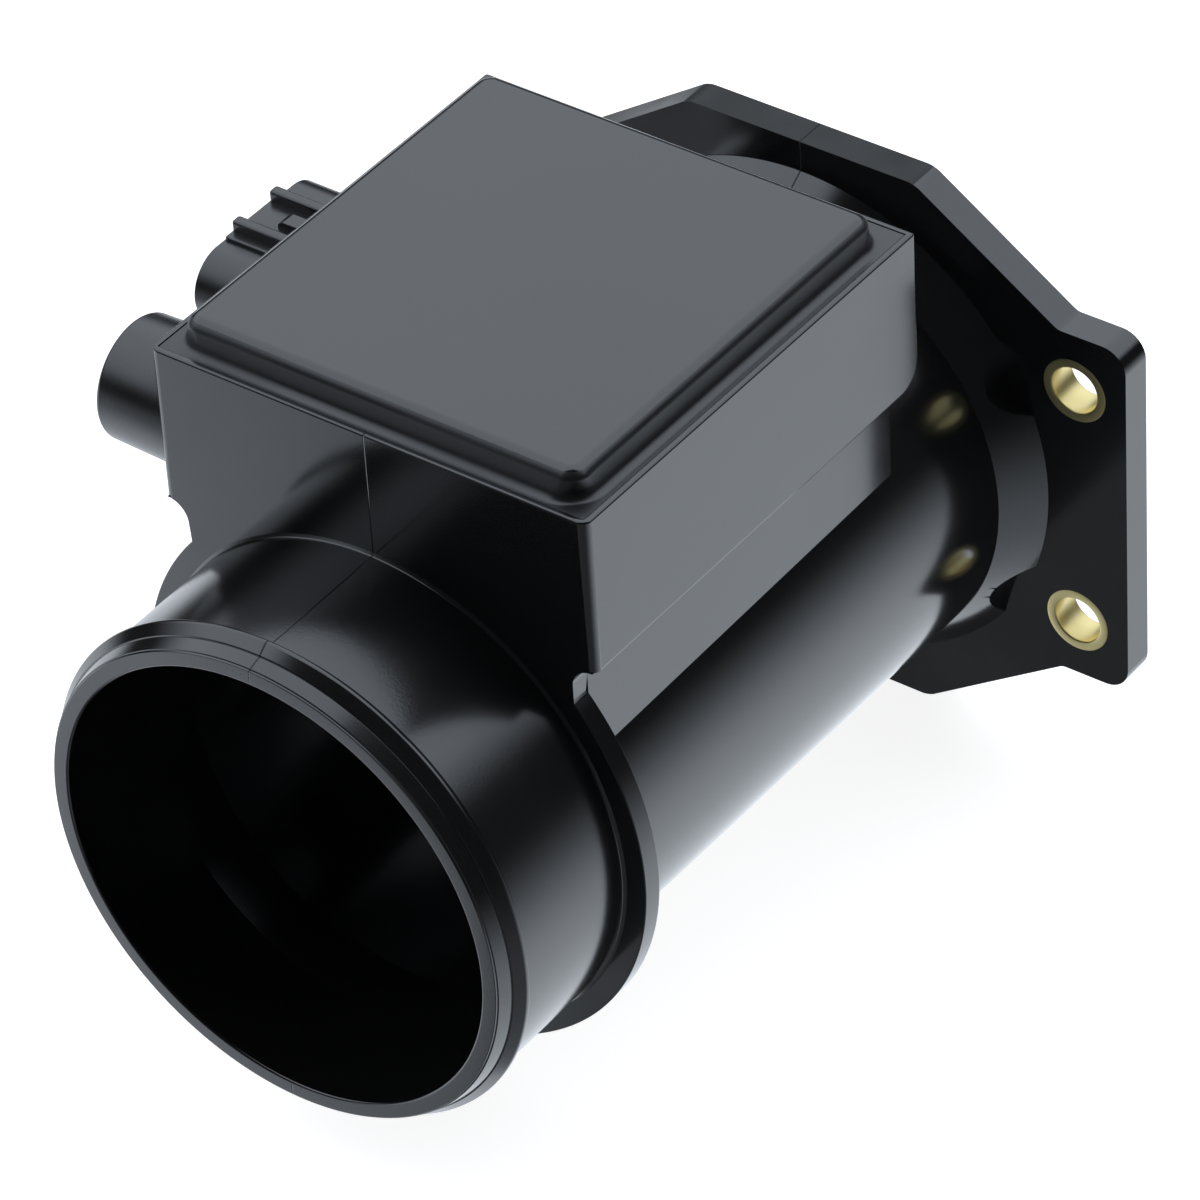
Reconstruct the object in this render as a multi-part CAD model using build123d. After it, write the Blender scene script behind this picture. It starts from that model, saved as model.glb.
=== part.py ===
from build123d import *
import os

# Mass airflow sensor: a moulded duct with a hose spigot, a four-hole flange and a circuit box.
#
# Frame: the origin lies on the bore's axis in the flange's mounting face. +Z points up to the
# lid, -Y runs along the bore to the hose mouth and -X is the connector side. Millimetres.

# ---- bore and turned outside ----
BODY_LENGTH = 108.5  # mounting face to the face of the front plate
SPIGOT_LENGTH = 28.0  # front plate's face to the hose mouth
BORE_R = 34.2
MOUTH_BORE_R = 36.2
MOUTH_BORE_DEPTH = 18.0  # wide part of the bore, from the mouth
MOUTH_TAPER_LENGTH = 8.0
SPIGOT_R = 40.0
SPIGOT_ROOT = 0.6  # bevel where the spigot meets the front plate
MOUTH_FACE_R = 38.3
LEAD_IN_R = 39.2  # end of the mouth's lead-in cone, under the bead
LEAD_IN_LENGTH = 2.5
BEAD_CREST_R = 41.0
BEAD_WIDTH = 2.4
BEAD_FLAT = 0.6
BEAD_FROM_MOUTH = 3.7
TUBE_FRONT_R = 37.3
TUBE_REAR_R = 38.1
HUB_LENGTH = 6.6
HUB_R = 42.5

# ---- front plate ----
PLATE_R = 43.76
PLATE_THICK = 3.3
PLATE_EDGE = 0.4

# ---- flange ----
FLANGE_THICK = 5.4
FLANGE_HALF_WIDTH = 56.1
FLANGE_HALF_HEIGHT = 47.7
FLANGE_TOP_HALF_FLAT = 20.0
EAR_HALF_HEIGHT = 31.2
EAR_ROOT_X = 44.5
TOP_CORNER_R = 4.0
EAR_CORNER_R = 4.0
EAR_ROOT_R = 2.0
FLANGE_EDGE = 0.5
HOLE_SPACING_X = 94.5
HOLE_SPACING_Z = 42.6
BOLT_POCKET_R = 8.8  # relief cut from the hub beside each bolt
BOLT_POCKET_INSET = 4.4  # pocket's centre to the hole's centre, towards the bore
BOLT_POCKET_RAISE = 1.1  # pocket's centre above or below the hole's centre
SCREEN_SEAT_DEPTH = 9.0  # recess in the mounting face that holds the screen
SCREEN_RECESS_R = 36.4

# ---- bushings ----
BUSHING_R = 5.34
BUSHING_HOLE_R = 3.85

# ---- circuit box and neck ----
BOX_LENGTH = 78.3
BOX_HALF_WIDTH = 37.4
BOX_BOTTOM_Z = 35.0
BOX_TOP_Z = 60.85
BOX_CORNER = 1.0
BOX_HEEL_R = 4.5  # rounded lower edge at the rear
NECK_HALF_WIDTH = 33.4
NECK_SETBACK = 1.9  # neck's rear wall ahead of the box's rear wall
NECK_FILLET_R = 3.5
BOX_WALL = 2.8
NECK_WALL = 2.8
BOX_FLOOR = 3.5
RIM_THICK = 0.9  # thin lip around the lid
LEDGE_DEPTH = 2.95  # lip's top to the ledge that carries the seal

# ---- lid and seal ----
LID_GAP = 0.15
LID_SINK = 0.1  # lid's margin below the lip's top
SEAL_THICK = 0.4
SEAL_WIDTH = 1.3
LID_RISE = 4.6  # box's top to the raised panel's top
LID_MARGIN = 3.9  # box's side to the raised panel's upper edge
LID_FRONT_MARGIN = 4.0
LID_REAR_MARGIN = 4.6
LID_DRAFT = 12.0  # degrees, sides of the raised panel
LID_CORNER_R = 2.8
LID_TOP_EDGE = 1.2
LID_SKIN = 2.3

# ---- connector ----
CONNECTOR_FROM_PLATE = 44.8
CONNECTOR_Z = 43.35
CONNECTOR_LENGTH = 17.6
SHROUD_WIDTH = 29.4
SHROUD_HEIGHT = 11.6
SHROUD_WALL = 1.5
SOCKET_DEPTH = 14.6
PAD_WIDTH = 14.0
PAD_RISE = 0.65
RAIL_SPACING = 8.7
RAIL_WIDTH = 1.9
RAIL_RISE = 1.75  # above the pad
RAIL_EDGE_R = 0.5
CATCH_WIDTH = 2.6
CATCH_RISE = 1.3  # above the pad
CATCH_FROM_MOUTH = 5.3
CATCH_LENGTH = 4.5
CATCH_SLOPE = 1.0

# ---- terminals ----
TERMINAL_COUNT = 6
TERMINAL_PITCH = 3.8
TERMINAL_WIDTH = 1.5
TERMINAL_THICK = 0.8
TERMINAL_SETBACK = 4.6  # tip below the shroud's mouth
FOOT_LENGTH = 1.6
LEAD_REACH = 3.2  # box's inner wall to a lead's drop to the board

# ---- adjuster boss ----
BOSS_FROM_PLATE = 10.4
BOSS_Z = 44.6
BOSS_LENGTH = 12.2
BOSS_R = 9.5
BOSS_ROOT_R = 9.85
BOSS_EDGE = 0.6
BOSS_BORE_R = 6.6
BOSS_BORE_DEPTH = 9.8
PLUG_THICK = 2.4
PLUG_SINK = 0.6
TRIMMER_R = 5.2
TRIMMER_HEIGHT = 5.0
TRIMMER_SLOT_WIDTH = 1.0
TRIMMER_SLOT_DEPTH = 0.8
TRIMMER_LEAD_PITCH = 2.5
TRIMMER_LEAD_WIDTH = 0.8

# ---- base plate, circuit board and what they carry ----
BASE_PLATE_THICK = 1.5
BASE_PLATE_GAP = 0.5
BOARD_THICK = 0.8
BOARD_EDGE_X = 2.2  # base plate's edge to the board's edge, connector side
BOARD_FRONT_GAP = 2.0
BOARD_LENGTH = 24.0
BOARD_HALF_SPAN = 27.0
ARM_WIDTH = 12.0
ARM_LENGTH = 30.0
CHIP_LENGTH = 11.0
CHIP_WIDTH = 9.0
CHIP_HEIGHT = 1.9
CAPACITOR_SIZE = 3.2
CAPACITOR_HEIGHT = 2.0
RESISTOR_LENGTH = 6.4
RESISTOR_WIDTH = 3.2
RESISTOR_HEIGHT = 0.7
COMPONENT_GAP = 3.0
TRANSISTOR_WIDTH = 10.2
TRANSISTOR_LENGTH = 15.0
TRANSISTOR_HEIGHT = 4.4
TRANSISTOR_X = 22.0
TAB_THICK = 1.3
TAB_LENGTH = 5.5
TAB_HOLE_R = 1.8

# ---- sensing module in the bore ----
MODULE_FROM_PLATE = 44.8
STEM_THICK = 10.5
STEM_CHORD = 20.0
STEM_GAP = 0.2
BYPASS_R = 8.0
BYPASS_BORE_R = 6.0
BYPASS_LENGTH = 22.0
BYPASS_LIP_R = 0.8
MODULE_FLANGE_HALF_X = 9.5
MODULE_FLANGE_HALF_Y = 13.5
PAD_MARGIN = 1.5  # seat in the housing, beyond the module's flange
PIN_WIDTH = 0.9
PIN_REACH = 0.8  # pin's tip below the bore's axis
LEAD_OVERLAP = 1.2  # pin's leg over the board's edge
HOT_PIN_X = 3.6
COLD_PIN_X = 2.2
ELEMENT_SPACING = 7.0
ELEMENT_R = 0.4

# ---- screen and its ring ----
SCREEN_THICK = 0.6
SCREEN_PITCH = 8.0
SCREEN_WEB = 1.0
RING_THICK = 2.4

# ---- stations along the bore ----
PLATE_Y = -BODY_LENGTH
MOUTH_Y = PLATE_Y - SPIGOT_LENGTH
BEAD_Y = MOUTH_Y + BEAD_FROM_MOUTH
HUB_FRONT_Y = -FLANGE_THICK - HUB_LENGTH
BOX_REAR_Y = PLATE_Y + BOX_LENGTH
NECK_REAR_Y = BOX_REAR_Y - NECK_SETBACK
CONNECTOR_Y = PLATE_Y + CONNECTOR_FROM_PLATE
BOSS_Y = PLATE_Y + BOSS_FROM_PLATE
MODULE_Y = PLATE_Y + MODULE_FROM_PLATE
HOT_Y = MODULE_Y - ELEMENT_SPACING / 2
COLD_Y = MODULE_Y + ELEMENT_SPACING / 2

# ---- inside of the box ----
CAVITY_HALF_X = BOX_HALF_WIDTH - BOX_WALL
CAVITY_FRONT_Y = PLATE_Y + BOX_WALL
CAVITY_REAR_Y = BOX_REAR_Y - BOX_WALL
FLOOR_Z = BOX_BOTTOM_Z + BOX_FLOOR
LEDGE_Z = BOX_TOP_Z - LEDGE_DEPTH
LID_BOTTOM_Z = LEDGE_Z + SEAL_THICK
LID_MARGIN_Z = BOX_TOP_Z - LID_SINK
LID_TOP_Z = BOX_TOP_Z + LID_RISE
PLATE_TOP_Z = FLOOR_Z + BASE_PLATE_THICK
BOARD_TOP_Z = PLATE_TOP_Z + BOARD_THICK
BOARD_LEFT_X = -CAVITY_HALF_X + BASE_PLATE_GAP + BOARD_EDGE_X
BOARD_FRONT_Y = CAVITY_FRONT_Y + BASE_PLATE_GAP + BOARD_FRONT_GAP
BOARD_REAR_Y = BOARD_FRONT_Y + BOARD_LENGTH
LEAD_DROP_X = -CAVITY_HALF_X + LEAD_REACH
WALL_OUT_X = -BOX_HALF_WIDTH
SHROUD_MOUTH_X = WALL_OUT_X - CONNECTOR_LENGTH
SOCKET_FLOOR_X = SHROUD_MOUTH_X + SOCKET_DEPTH
BOSS_END_X = WALL_OUT_X - BOSS_LENGTH
BOSS_FLOOR_X = BOSS_END_X + BOSS_BORE_DEPTH


# ---- plain shapes ----
def block(x0, x1, y0, y1, z0, z1):
    """A box between two corners."""
    centre = Pos((x0 + x1) / 2, (y0 + y1) / 2, (z0 + z1) / 2)
    return centre * Box(x1 - x0, y1 - y0, z1 - z0)


def prism_x(sketch, x0, x1):
    """A sketch drawn in Y and Z, extruded from x0 up to x1."""
    return extrude(Plane.YZ.offset(x0) * sketch, x1 - x0)


def prism_y(sketch, y0, y1):
    """A sketch drawn in X and Z, extruded between y0 and the larger y1."""
    return extrude(Plane.XZ.offset(-y1) * sketch, y1 - y0)


def prism_z(sketch, z0, z1):
    """A sketch drawn in X and Y, extruded from z0 up to z1."""
    return extrude(Plane.XY.offset(z0) * sketch, z1 - z0)


def turned(points):
    """A solid turned about the bore's axis from (radius, y) points."""
    return revolve(make_face(Polyline(*points, close=True)), Axis.Y)


def corner_at(sketch, point):
    """The sketch's corner nearest to a point."""
    return sketch.vertices().sort_by_distance((point[0], point[1], 0))[0]


def hole_places():
    """Centres (x, z) of the four flange holes."""
    half_x = HOLE_SPACING_X / 2
    half_z = HOLE_SPACING_Z / 2
    return [(x, z) for x in (-half_x, half_x) for z in (-half_z, half_z)]


def lid_panel_bounds():
    """Upper edge of the lid's raised panel: x half width, front y and rear y."""
    half = BOX_HALF_WIDTH - LID_MARGIN
    return half, PLATE_Y + LID_FRONT_MARGIN, BOX_REAR_Y - LID_REAR_MARGIN


# ---- housing ----
def spigot_and_tube():
    """The turned outside: mouth, hose bead, spigot, plate disc, tube."""
    plate_back = PLATE_Y + PLATE_THICK
    profile = make_face(
        Polyline(
            (0, MOUTH_Y),
            (MOUTH_FACE_R, MOUTH_Y),
            (LEAD_IN_R, MOUTH_Y + LEAD_IN_LENGTH),
            (BEAD_CREST_R, BEAD_Y - BEAD_FLAT / 2),
            (BEAD_CREST_R, BEAD_Y + BEAD_FLAT / 2),
            (SPIGOT_R, BEAD_Y + BEAD_WIDTH / 2),
            (SPIGOT_R, PLATE_Y),
            (PLATE_R, PLATE_Y),
            (PLATE_R, plate_back),
            (TUBE_FRONT_R, plate_back),
            (TUBE_REAR_R, HUB_FRONT_Y),
            (TUBE_REAR_R, 0),
            (0, 0),
            close=True,
        )
    )
    profile = chamfer(corner_at(profile, (SPIGOT_R, PLATE_Y)), SPIGOT_ROOT)
    profile = chamfer(corner_at(profile, (PLATE_R, PLATE_Y)), PLATE_EDGE)
    return revolve(profile, Axis.Y)


def flange_plate():
    """The four-eared flange, its front edges broken and its mounting face left square."""
    quarter = [
        (FLANGE_TOP_HALF_FLAT, FLANGE_HALF_HEIGHT),
        (EAR_ROOT_X, EAR_HALF_HEIGHT),
        (FLANGE_HALF_WIDTH, EAR_HALF_HEIGHT),
    ]
    radii = [TOP_CORNER_R, EAR_ROOT_R, EAR_CORNER_R]
    right = quarter + [(x, -z) for x, z in reversed(quarter)]
    outline = make_face(Polyline(*right, *[(-x, z) for x, z in reversed(right)], close=True))
    for (x, z), radius in zip(quarter, radii):
        for side, level in ((1, 1), (1, -1), (-1, 1), (-1, -1)):
            outline = fillet(corner_at(outline, (side * x, level * z)), radius)
    plate = prism_y(outline, -FLANGE_THICK, 0)
    return chamfer(plate.faces().sort_by(Axis.Y)[0].edges(), FLANGE_EDGE)


def hub():
    """The cone that widens onto the flange, with a pocket beside each bolt."""
    profile = make_face(
        Polyline(
            (0, HUB_FRONT_Y),
            (TUBE_REAR_R, HUB_FRONT_Y),
            (HUB_R, -FLANGE_THICK),
            (HUB_R, -FLANGE_THICK / 2),
            (0, -FLANGE_THICK / 2),
            close=True,
        )
    )
    cone = revolve(profile, Axis.Y)
    pocket_x = HOLE_SPACING_X / 2 - BOLT_POCKET_INSET
    pocket_z = HOLE_SPACING_Z / 2 + BOLT_POCKET_RAISE
    for x in (-pocket_x, pocket_x):
        for z in (-pocket_z, pocket_z):
            pocket = Pos(x, z) * Circle(BOLT_POCKET_R)
            cone -= prism_y(pocket, HUB_FRONT_Y - 1, -FLANGE_THICK)
    return cone


def box_outside():
    """Circuit box and the neck that joins it to the tube."""
    box = block(-BOX_HALF_WIDTH, BOX_HALF_WIDTH, PLATE_Y, BOX_REAR_Y, BOX_BOTTOM_Z, BOX_TOP_Z)
    heel = box.edges().filter_by(Axis.X).group_by(Axis.Y)[-1].sort_by(Axis.Z)[0]
    box = fillet(heel, BOX_HEEL_R)
    box = chamfer(box.edges().filter_by(Axis.Z), BOX_CORNER)
    neck = block(-NECK_HALF_WIDTH, NECK_HALF_WIDTH, PLATE_Y, NECK_REAR_Y, 0, FLOOR_Z)
    both = box + neck
    for side in (-1, 1):
        corner_x = side * (NECK_HALF_WIDTH + NECK_FILLET_R / 2)
        corner_z = BOX_BOTTOM_Z - NECK_FILLET_R / 2
        web = Pos(corner_x, corner_z) * Rectangle(NECK_FILLET_R, NECK_FILLET_R)
        round_x = side * (NECK_HALF_WIDTH + NECK_FILLET_R)
        web -= Pos(round_x, BOX_BOTTOM_Z - NECK_FILLET_R) * Circle(NECK_FILLET_R)
        both += prism_y(web, PLATE_Y, BOX_REAR_Y - BOX_HEEL_R)
    return both


def bore():
    """The air passage: wide mouth, taper, main bore and the screen's recess."""
    taper_start = MOUTH_Y + MOUTH_BORE_DEPTH
    taper_end = taper_start + MOUTH_TAPER_LENGTH
    return turned(
        [
            (0, MOUTH_Y - 1),
            (MOUTH_BORE_R, MOUTH_Y - 1),
            (MOUTH_BORE_R, taper_start),
            (BORE_R, taper_end),
            (BORE_R, -SCREEN_SEAT_DEPTH),
            (SCREEN_RECESS_R, -SCREEN_SEAT_DEPTH),
            (SCREEN_RECESS_R, 1),
            (0, 1),
        ]
    )


def box_inside():
    """Circuit chamber, the pocket under it down to the tube, and the lid's recess."""
    chamber = block(
        -CAVITY_HALF_X, CAVITY_HALF_X, CAVITY_FRONT_Y, CAVITY_REAR_Y, FLOOR_Z, BOX_TOP_Z + 1
    )
    pocket_x = NECK_HALF_WIDTH - NECK_WALL
    pocket_front = PLATE_Y + PLATE_THICK
    pocket = block(-pocket_x, pocket_x, pocket_front, NECK_REAR_Y - NECK_WALL, 0, FLOOR_Z)
    pocket -= prism_y(Circle(TUBE_REAR_R), PLATE_Y, 0)
    half_x = MODULE_FLANGE_HALF_X + PAD_MARGIN
    half_y = MODULE_FLANGE_HALF_Y + PAD_MARGIN
    pocket -= block(-half_x, half_x, MODULE_Y - half_y, MODULE_Y + half_y, 0, FLOOR_Z)
    lip_x = BOX_HALF_WIDTH - RIM_THICK
    recess = block(
        -lip_x, lip_x, PLATE_Y + RIM_THICK, BOX_REAR_Y - RIM_THICK, LEDGE_Z, BOX_TOP_Z + 1
    )
    return chamber + pocket + recess


def stem_section(gap=0.0):
    """Rounded section of the module's stem, long side along the air flow."""
    section = SlotOverall(STEM_CHORD + 2 * gap, STEM_THICK + 2 * gap, rotation=90)
    return Pos(0, MODULE_Y) * section


def connector_shroud():
    """Oval connector socket with its keying pad, two rails and the catch."""
    oval = SlotOverall(SHROUD_WIDTH, SHROUD_HEIGHT)
    tube = prism_x(Pos(CONNECTOR_Y, CONNECTOR_Z) * oval, SHROUD_MOUTH_X, WALL_OUT_X)
    top = CONNECTOR_Z + SHROUD_HEIGHT / 2
    pad_top = top + PAD_RISE
    pad_half = PAD_WIDTH / 2
    pad_low = CONNECTOR_Y - pad_half
    pad_high = CONNECTOR_Y + pad_half
    tube += block(SHROUD_MOUTH_X, WALL_OUT_X, pad_low, pad_high, CONNECTOR_Z, pad_top)
    for side in (-1, 1):
        centre = CONNECTOR_Y + side * RAIL_SPACING / 2
        low = centre - RAIL_WIDTH / 2
        high = centre + RAIL_WIDTH / 2
        rail = block(SHROUD_MOUTH_X, WALL_OUT_X, low, high, CONNECTOR_Z, pad_top + RAIL_RISE)
        ridge = rail.faces().sort_by(Axis.Z)[-1].edges().filter_by(Axis.X)
        tip = rail.faces().sort_by(Axis.Z)[-1].edges().filter_by(Axis.Y).sort_by(Axis.X)[0]
        tube += fillet(ridge + [tip], RAIL_EDGE_R)
    catch_front = SHROUD_MOUTH_X + CATCH_FROM_MOUTH
    catch = make_face(
        Polyline(
            (catch_front, CONNECTOR_Z),
            (catch_front, pad_top + CATCH_RISE / 2),
            (catch_front + CATCH_SLOPE, pad_top + CATCH_RISE),
            (catch_front + CATCH_LENGTH, pad_top + CATCH_RISE),
            (catch_front + CATCH_LENGTH, CONNECTOR_Z),
            close=True,
        )
    )
    half = CATCH_WIDTH / 2
    return tube + prism_y(catch, CONNECTOR_Y - half, CONNECTOR_Y + half)


def connector_socket():
    """The hollow that takes the mating plug."""
    oval = SlotOverall(SHROUD_WIDTH - 2 * SHROUD_WALL, SHROUD_HEIGHT - 2 * SHROUD_WALL)
    return prism_x(Pos(CONNECTOR_Y, CONNECTOR_Z) * oval, SHROUD_MOUTH_X - 1, SOCKET_FLOOR_X)


def adjuster_boss():
    """Round boss beside the connector, slightly tapered."""
    end = Plane.YZ.offset(BOSS_END_X) * Pos(BOSS_Y, BOSS_Z) * Circle(BOSS_R)
    root = Plane.YZ.offset(WALL_OUT_X) * Pos(BOSS_Y, BOSS_Z) * Circle(BOSS_ROOT_R)
    boss = loft([end, root])
    return chamfer(boss.edges().sort_by(Axis.X)[0], BOSS_EDGE)


def housing():
    """The one-piece moulded housing."""
    body = spigot_and_tube() + flange_plate() + hub() + box_outside()
    body += connector_shroud() + adjuster_boss()
    body -= bore()
    body -= box_inside()
    body -= prism_z(stem_section(STEM_GAP), BORE_R / 2, FLOOR_Z)
    body -= connector_socket()
    boss_bore = Pos(BOSS_Y, BOSS_Z) * Circle(BOSS_BORE_R)
    body -= prism_x(boss_bore, BOSS_END_X - 1, BOSS_FLOOR_X)
    for x, z in hole_places():
        body -= prism_y(Pos(x, z) * Circle(BUSHING_R), -FLANGE_THICK - 1, 1)
    for y in terminal_places():
        body -= terminal(y)
    body -= trimmer_leads()
    return body


# ---- lid and seal ----
def lid():
    """Moulded lid: a flat margin inside the lip and a hollow raised panel."""
    gap = RIM_THICK + LID_GAP
    margin = block(
        -BOX_HALF_WIDTH + gap,
        BOX_HALF_WIDTH - gap,
        PLATE_Y + gap,
        BOX_REAR_Y - gap,
        LID_BOTTOM_Z,
        LID_MARGIN_Z,
    )
    half_x, front_y, rear_y = lid_panel_bounds()
    centre_y = (front_y + rear_y) / 2
    upper = Plane.XY.offset(LID_TOP_Z) * Pos(0, centre_y) * RectangleRounded(
        2 * half_x, rear_y - front_y, LID_CORNER_R
    )
    panel = extrude(upper, LID_MARGIN_Z - LID_TOP_Z, taper=-LID_DRAFT)
    panel = chamfer(panel.faces().sort_by(Axis.Z)[-1].edges(), LID_TOP_EDGE)
    hollow = block(
        -half_x + LID_SKIN,
        half_x - LID_SKIN,
        front_y + LID_SKIN,
        rear_y - LID_SKIN,
        LID_BOTTOM_Z,
        LID_TOP_Z - LID_SKIN,
    )
    return margin + panel - hollow


def lid_seal():
    """Sealant bead between the ledge and the lid's margin."""
    outer = RIM_THICK + LID_GAP
    inner = outer + SEAL_WIDTH
    rings = []
    for inset in (outer, inner):
        rings.append(
            block(
                -BOX_HALF_WIDTH + inset,
                BOX_HALF_WIDTH - inset,
                PLATE_Y + inset,
                BOX_REAR_Y - inset,
                LEDGE_Z,
                LID_BOTTOM_Z,
            )
        )
    return rings[0] - rings[1]


# ---- bushings ----
def bushing(x, z):
    """Brass sleeve that takes the bolt's clamping load, flush with both faces."""
    section = Circle(BUSHING_R) - Circle(BUSHING_HOLE_R)
    return prism_y(Pos(x, z) * section, -FLANGE_THICK, 0)


# ---- leads ----
def bent_lead(tip_x, y, z, width, thick):
    """A flat lead from an outer tip through the wall, down to a foot on the board."""
    half = thick / 2
    profile = make_face(
        Polyline(
            (tip_x, z - half),
            (tip_x, z + half),
            (LEAD_DROP_X + half, z + half),
            (LEAD_DROP_X + half, BOARD_TOP_Z + thick),
            (LEAD_DROP_X + half + FOOT_LENGTH, BOARD_TOP_Z + thick),
            (LEAD_DROP_X + half + FOOT_LENGTH, BOARD_TOP_Z),
            (LEAD_DROP_X - half, BOARD_TOP_Z),
            (LEAD_DROP_X - half, z - half),
            close=True,
        )
    )
    return prism_y(profile, y - width / 2, y + width / 2)


def terminal_places():
    """Y of each connector terminal."""
    first = CONNECTOR_Y - TERMINAL_PITCH * (TERMINAL_COUNT - 1) / 2
    return [first + i * TERMINAL_PITCH for i in range(TERMINAL_COUNT)]


def terminal(y):
    """One connector terminal."""
    tip_x = SHROUD_MOUTH_X + TERMINAL_SETBACK
    return bent_lead(tip_x, y, CONNECTOR_Z, TERMINAL_WIDTH, TERMINAL_THICK)


# ---- adjuster ----
def trimmer_leads():
    """The adjuster's three leads."""
    leads = []
    for i in (-1, 0, 1):
        y = BOSS_Y + i * TRIMMER_LEAD_PITCH
        leads.append(bent_lead(BOSS_FLOOR_X, y, BOSS_Z, TRIMMER_LEAD_WIDTH, TERMINAL_THICK))
    return leads[0] + leads[1] + leads[2]


def trimmer():
    """Mixture adjuster: a round potentiometer with a screwdriver slot."""
    face_x = BOSS_FLOOR_X - TRIMMER_HEIGHT
    body = prism_x(Pos(BOSS_Y, BOSS_Z) * Circle(TRIMMER_R), face_x, BOSS_FLOOR_X)
    slot = Pos(BOSS_Y, BOSS_Z) * Rectangle(TRIMMER_R, TRIMMER_SLOT_WIDTH)
    body -= prism_x(slot, face_x, face_x + TRIMMER_SLOT_DEPTH)
    return body + trimmer_leads()


def boss_plug():
    """Plug that closes the adjuster's boss."""
    face_x = BOSS_END_X + PLUG_SINK
    return prism_x(Pos(BOSS_Y, BOSS_Z) * Circle(BOSS_BORE_R), face_x, face_x + PLUG_THICK)


# ---- circuit ----
def base_plate():
    """Aluminium plate on the chamber's floor, open around the module's flange."""
    gap = BASE_PLATE_GAP
    plate = block(
        -CAVITY_HALF_X + gap,
        CAVITY_HALF_X - gap,
        CAVITY_FRONT_Y + gap,
        CAVITY_REAR_Y - gap,
        FLOOR_Z,
        PLATE_TOP_Z,
    )
    half_x = MODULE_FLANGE_HALF_X + gap
    half_y = MODULE_FLANGE_HALF_Y + gap
    window = block(-half_x, half_x, MODULE_Y - half_y, MODULE_Y + half_y, FLOOR_Z, PLATE_TOP_Z)
    return plate - window


def circuit_board():
    """L-shaped ceramic board: one arm runs past the connector's leads."""
    main = block(
        BOARD_LEFT_X,
        BOARD_HALF_SPAN,
        BOARD_FRONT_Y,
        MODULE_Y - MODULE_FLANGE_HALF_Y - BASE_PLATE_GAP,
        PLATE_TOP_Z,
        BOARD_TOP_Z,
    )
    arm = block(
        BOARD_LEFT_X,
        BOARD_LEFT_X + ARM_WIDTH,
        BOARD_FRONT_Y,
        BOARD_REAR_Y + ARM_LENGTH,
        PLATE_TOP_Z,
        BOARD_TOP_Z,
    )
    return main + arm


def on_board(x, y, length_x, length_y, height):
    """A component that lies on the board, centred at x and y."""
    return block(
        x - length_x / 2,
        x + length_x / 2,
        y - length_y / 2,
        y + length_y / 2,
        BOARD_TOP_Z,
        BOARD_TOP_Z + height,
    )


def board_parts():
    """The board's packaged parts by node name."""
    row_y = BOARD_FRONT_Y + COMPONENT_GAP + CHIP_WIDTH / 2
    cap_x = CHIP_LENGTH / 2 + COMPONENT_GAP + CAPACITOR_SIZE / 2
    res_x = cap_x + CAPACITOR_SIZE / 2 + COMPONENT_GAP / 2 + RESISTOR_LENGTH / 2
    parts = {"control_chip": on_board(0, row_y, CHIP_LENGTH, CHIP_WIDTH, CHIP_HEIGHT)}
    for number, side in ((1, -1), (2, 1)):
        parts[f"capacitor_{number}"] = on_board(
            side * cap_x, row_y, CAPACITOR_SIZE, CAPACITOR_SIZE, CAPACITOR_HEIGHT
        )
        parts[f"resistor_{number}"] = on_board(
            side * res_x, row_y, RESISTOR_LENGTH, RESISTOR_WIDTH, RESISTOR_HEIGHT
        )
    return parts


def power_transistor():
    """Transistor with a bolt tab, flat on the base plate."""
    half = TRANSISTOR_WIDTH / 2
    front = MODULE_Y - TRANSISTOR_LENGTH / 2
    body = block(
        TRANSISTOR_X - half,
        TRANSISTOR_X + half,
        front,
        front + TRANSISTOR_LENGTH - TAB_LENGTH,
        PLATE_TOP_Z,
        PLATE_TOP_Z + TRANSISTOR_HEIGHT,
    )
    tab = block(
        TRANSISTOR_X - half,
        TRANSISTOR_X + half,
        front,
        front + TRANSISTOR_LENGTH,
        PLATE_TOP_Z,
        PLATE_TOP_Z + TAB_THICK,
    )
    hole_y = front + TRANSISTOR_LENGTH - TAB_LENGTH / 2
    hole = Pos(TRANSISTOR_X, hole_y) * Circle(TAB_HOLE_R)
    return body + tab - prism_z(hole, PLATE_TOP_Z, PLATE_TOP_Z + TAB_THICK)


# ---- sensing module ----
def pin_places():
    """Node name, x and y of the four support pins."""
    return {
        "hot_pin_left": (-HOT_PIN_X, HOT_Y),
        "hot_pin_right": (HOT_PIN_X, HOT_Y),
        "cold_pin_left": (-COLD_PIN_X, COLD_Y),
        "cold_pin_right": (COLD_PIN_X, COLD_Y),
    }


def support_pin(x, y):
    """Upright pin through the stem, bent over onto the board."""
    half = PIN_WIDTH / 2
    top = BOARD_TOP_Z + PIN_WIDTH
    upright = block(x - half, x + half, y - half, y + half, -PIN_REACH, top)
    leg_end = MODULE_Y - MODULE_FLANGE_HALF_Y - BASE_PLATE_GAP - LEAD_OVERLAP
    return upright + block(x - half, x + half, leg_end, y, BOARD_TOP_Z, top)


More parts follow.
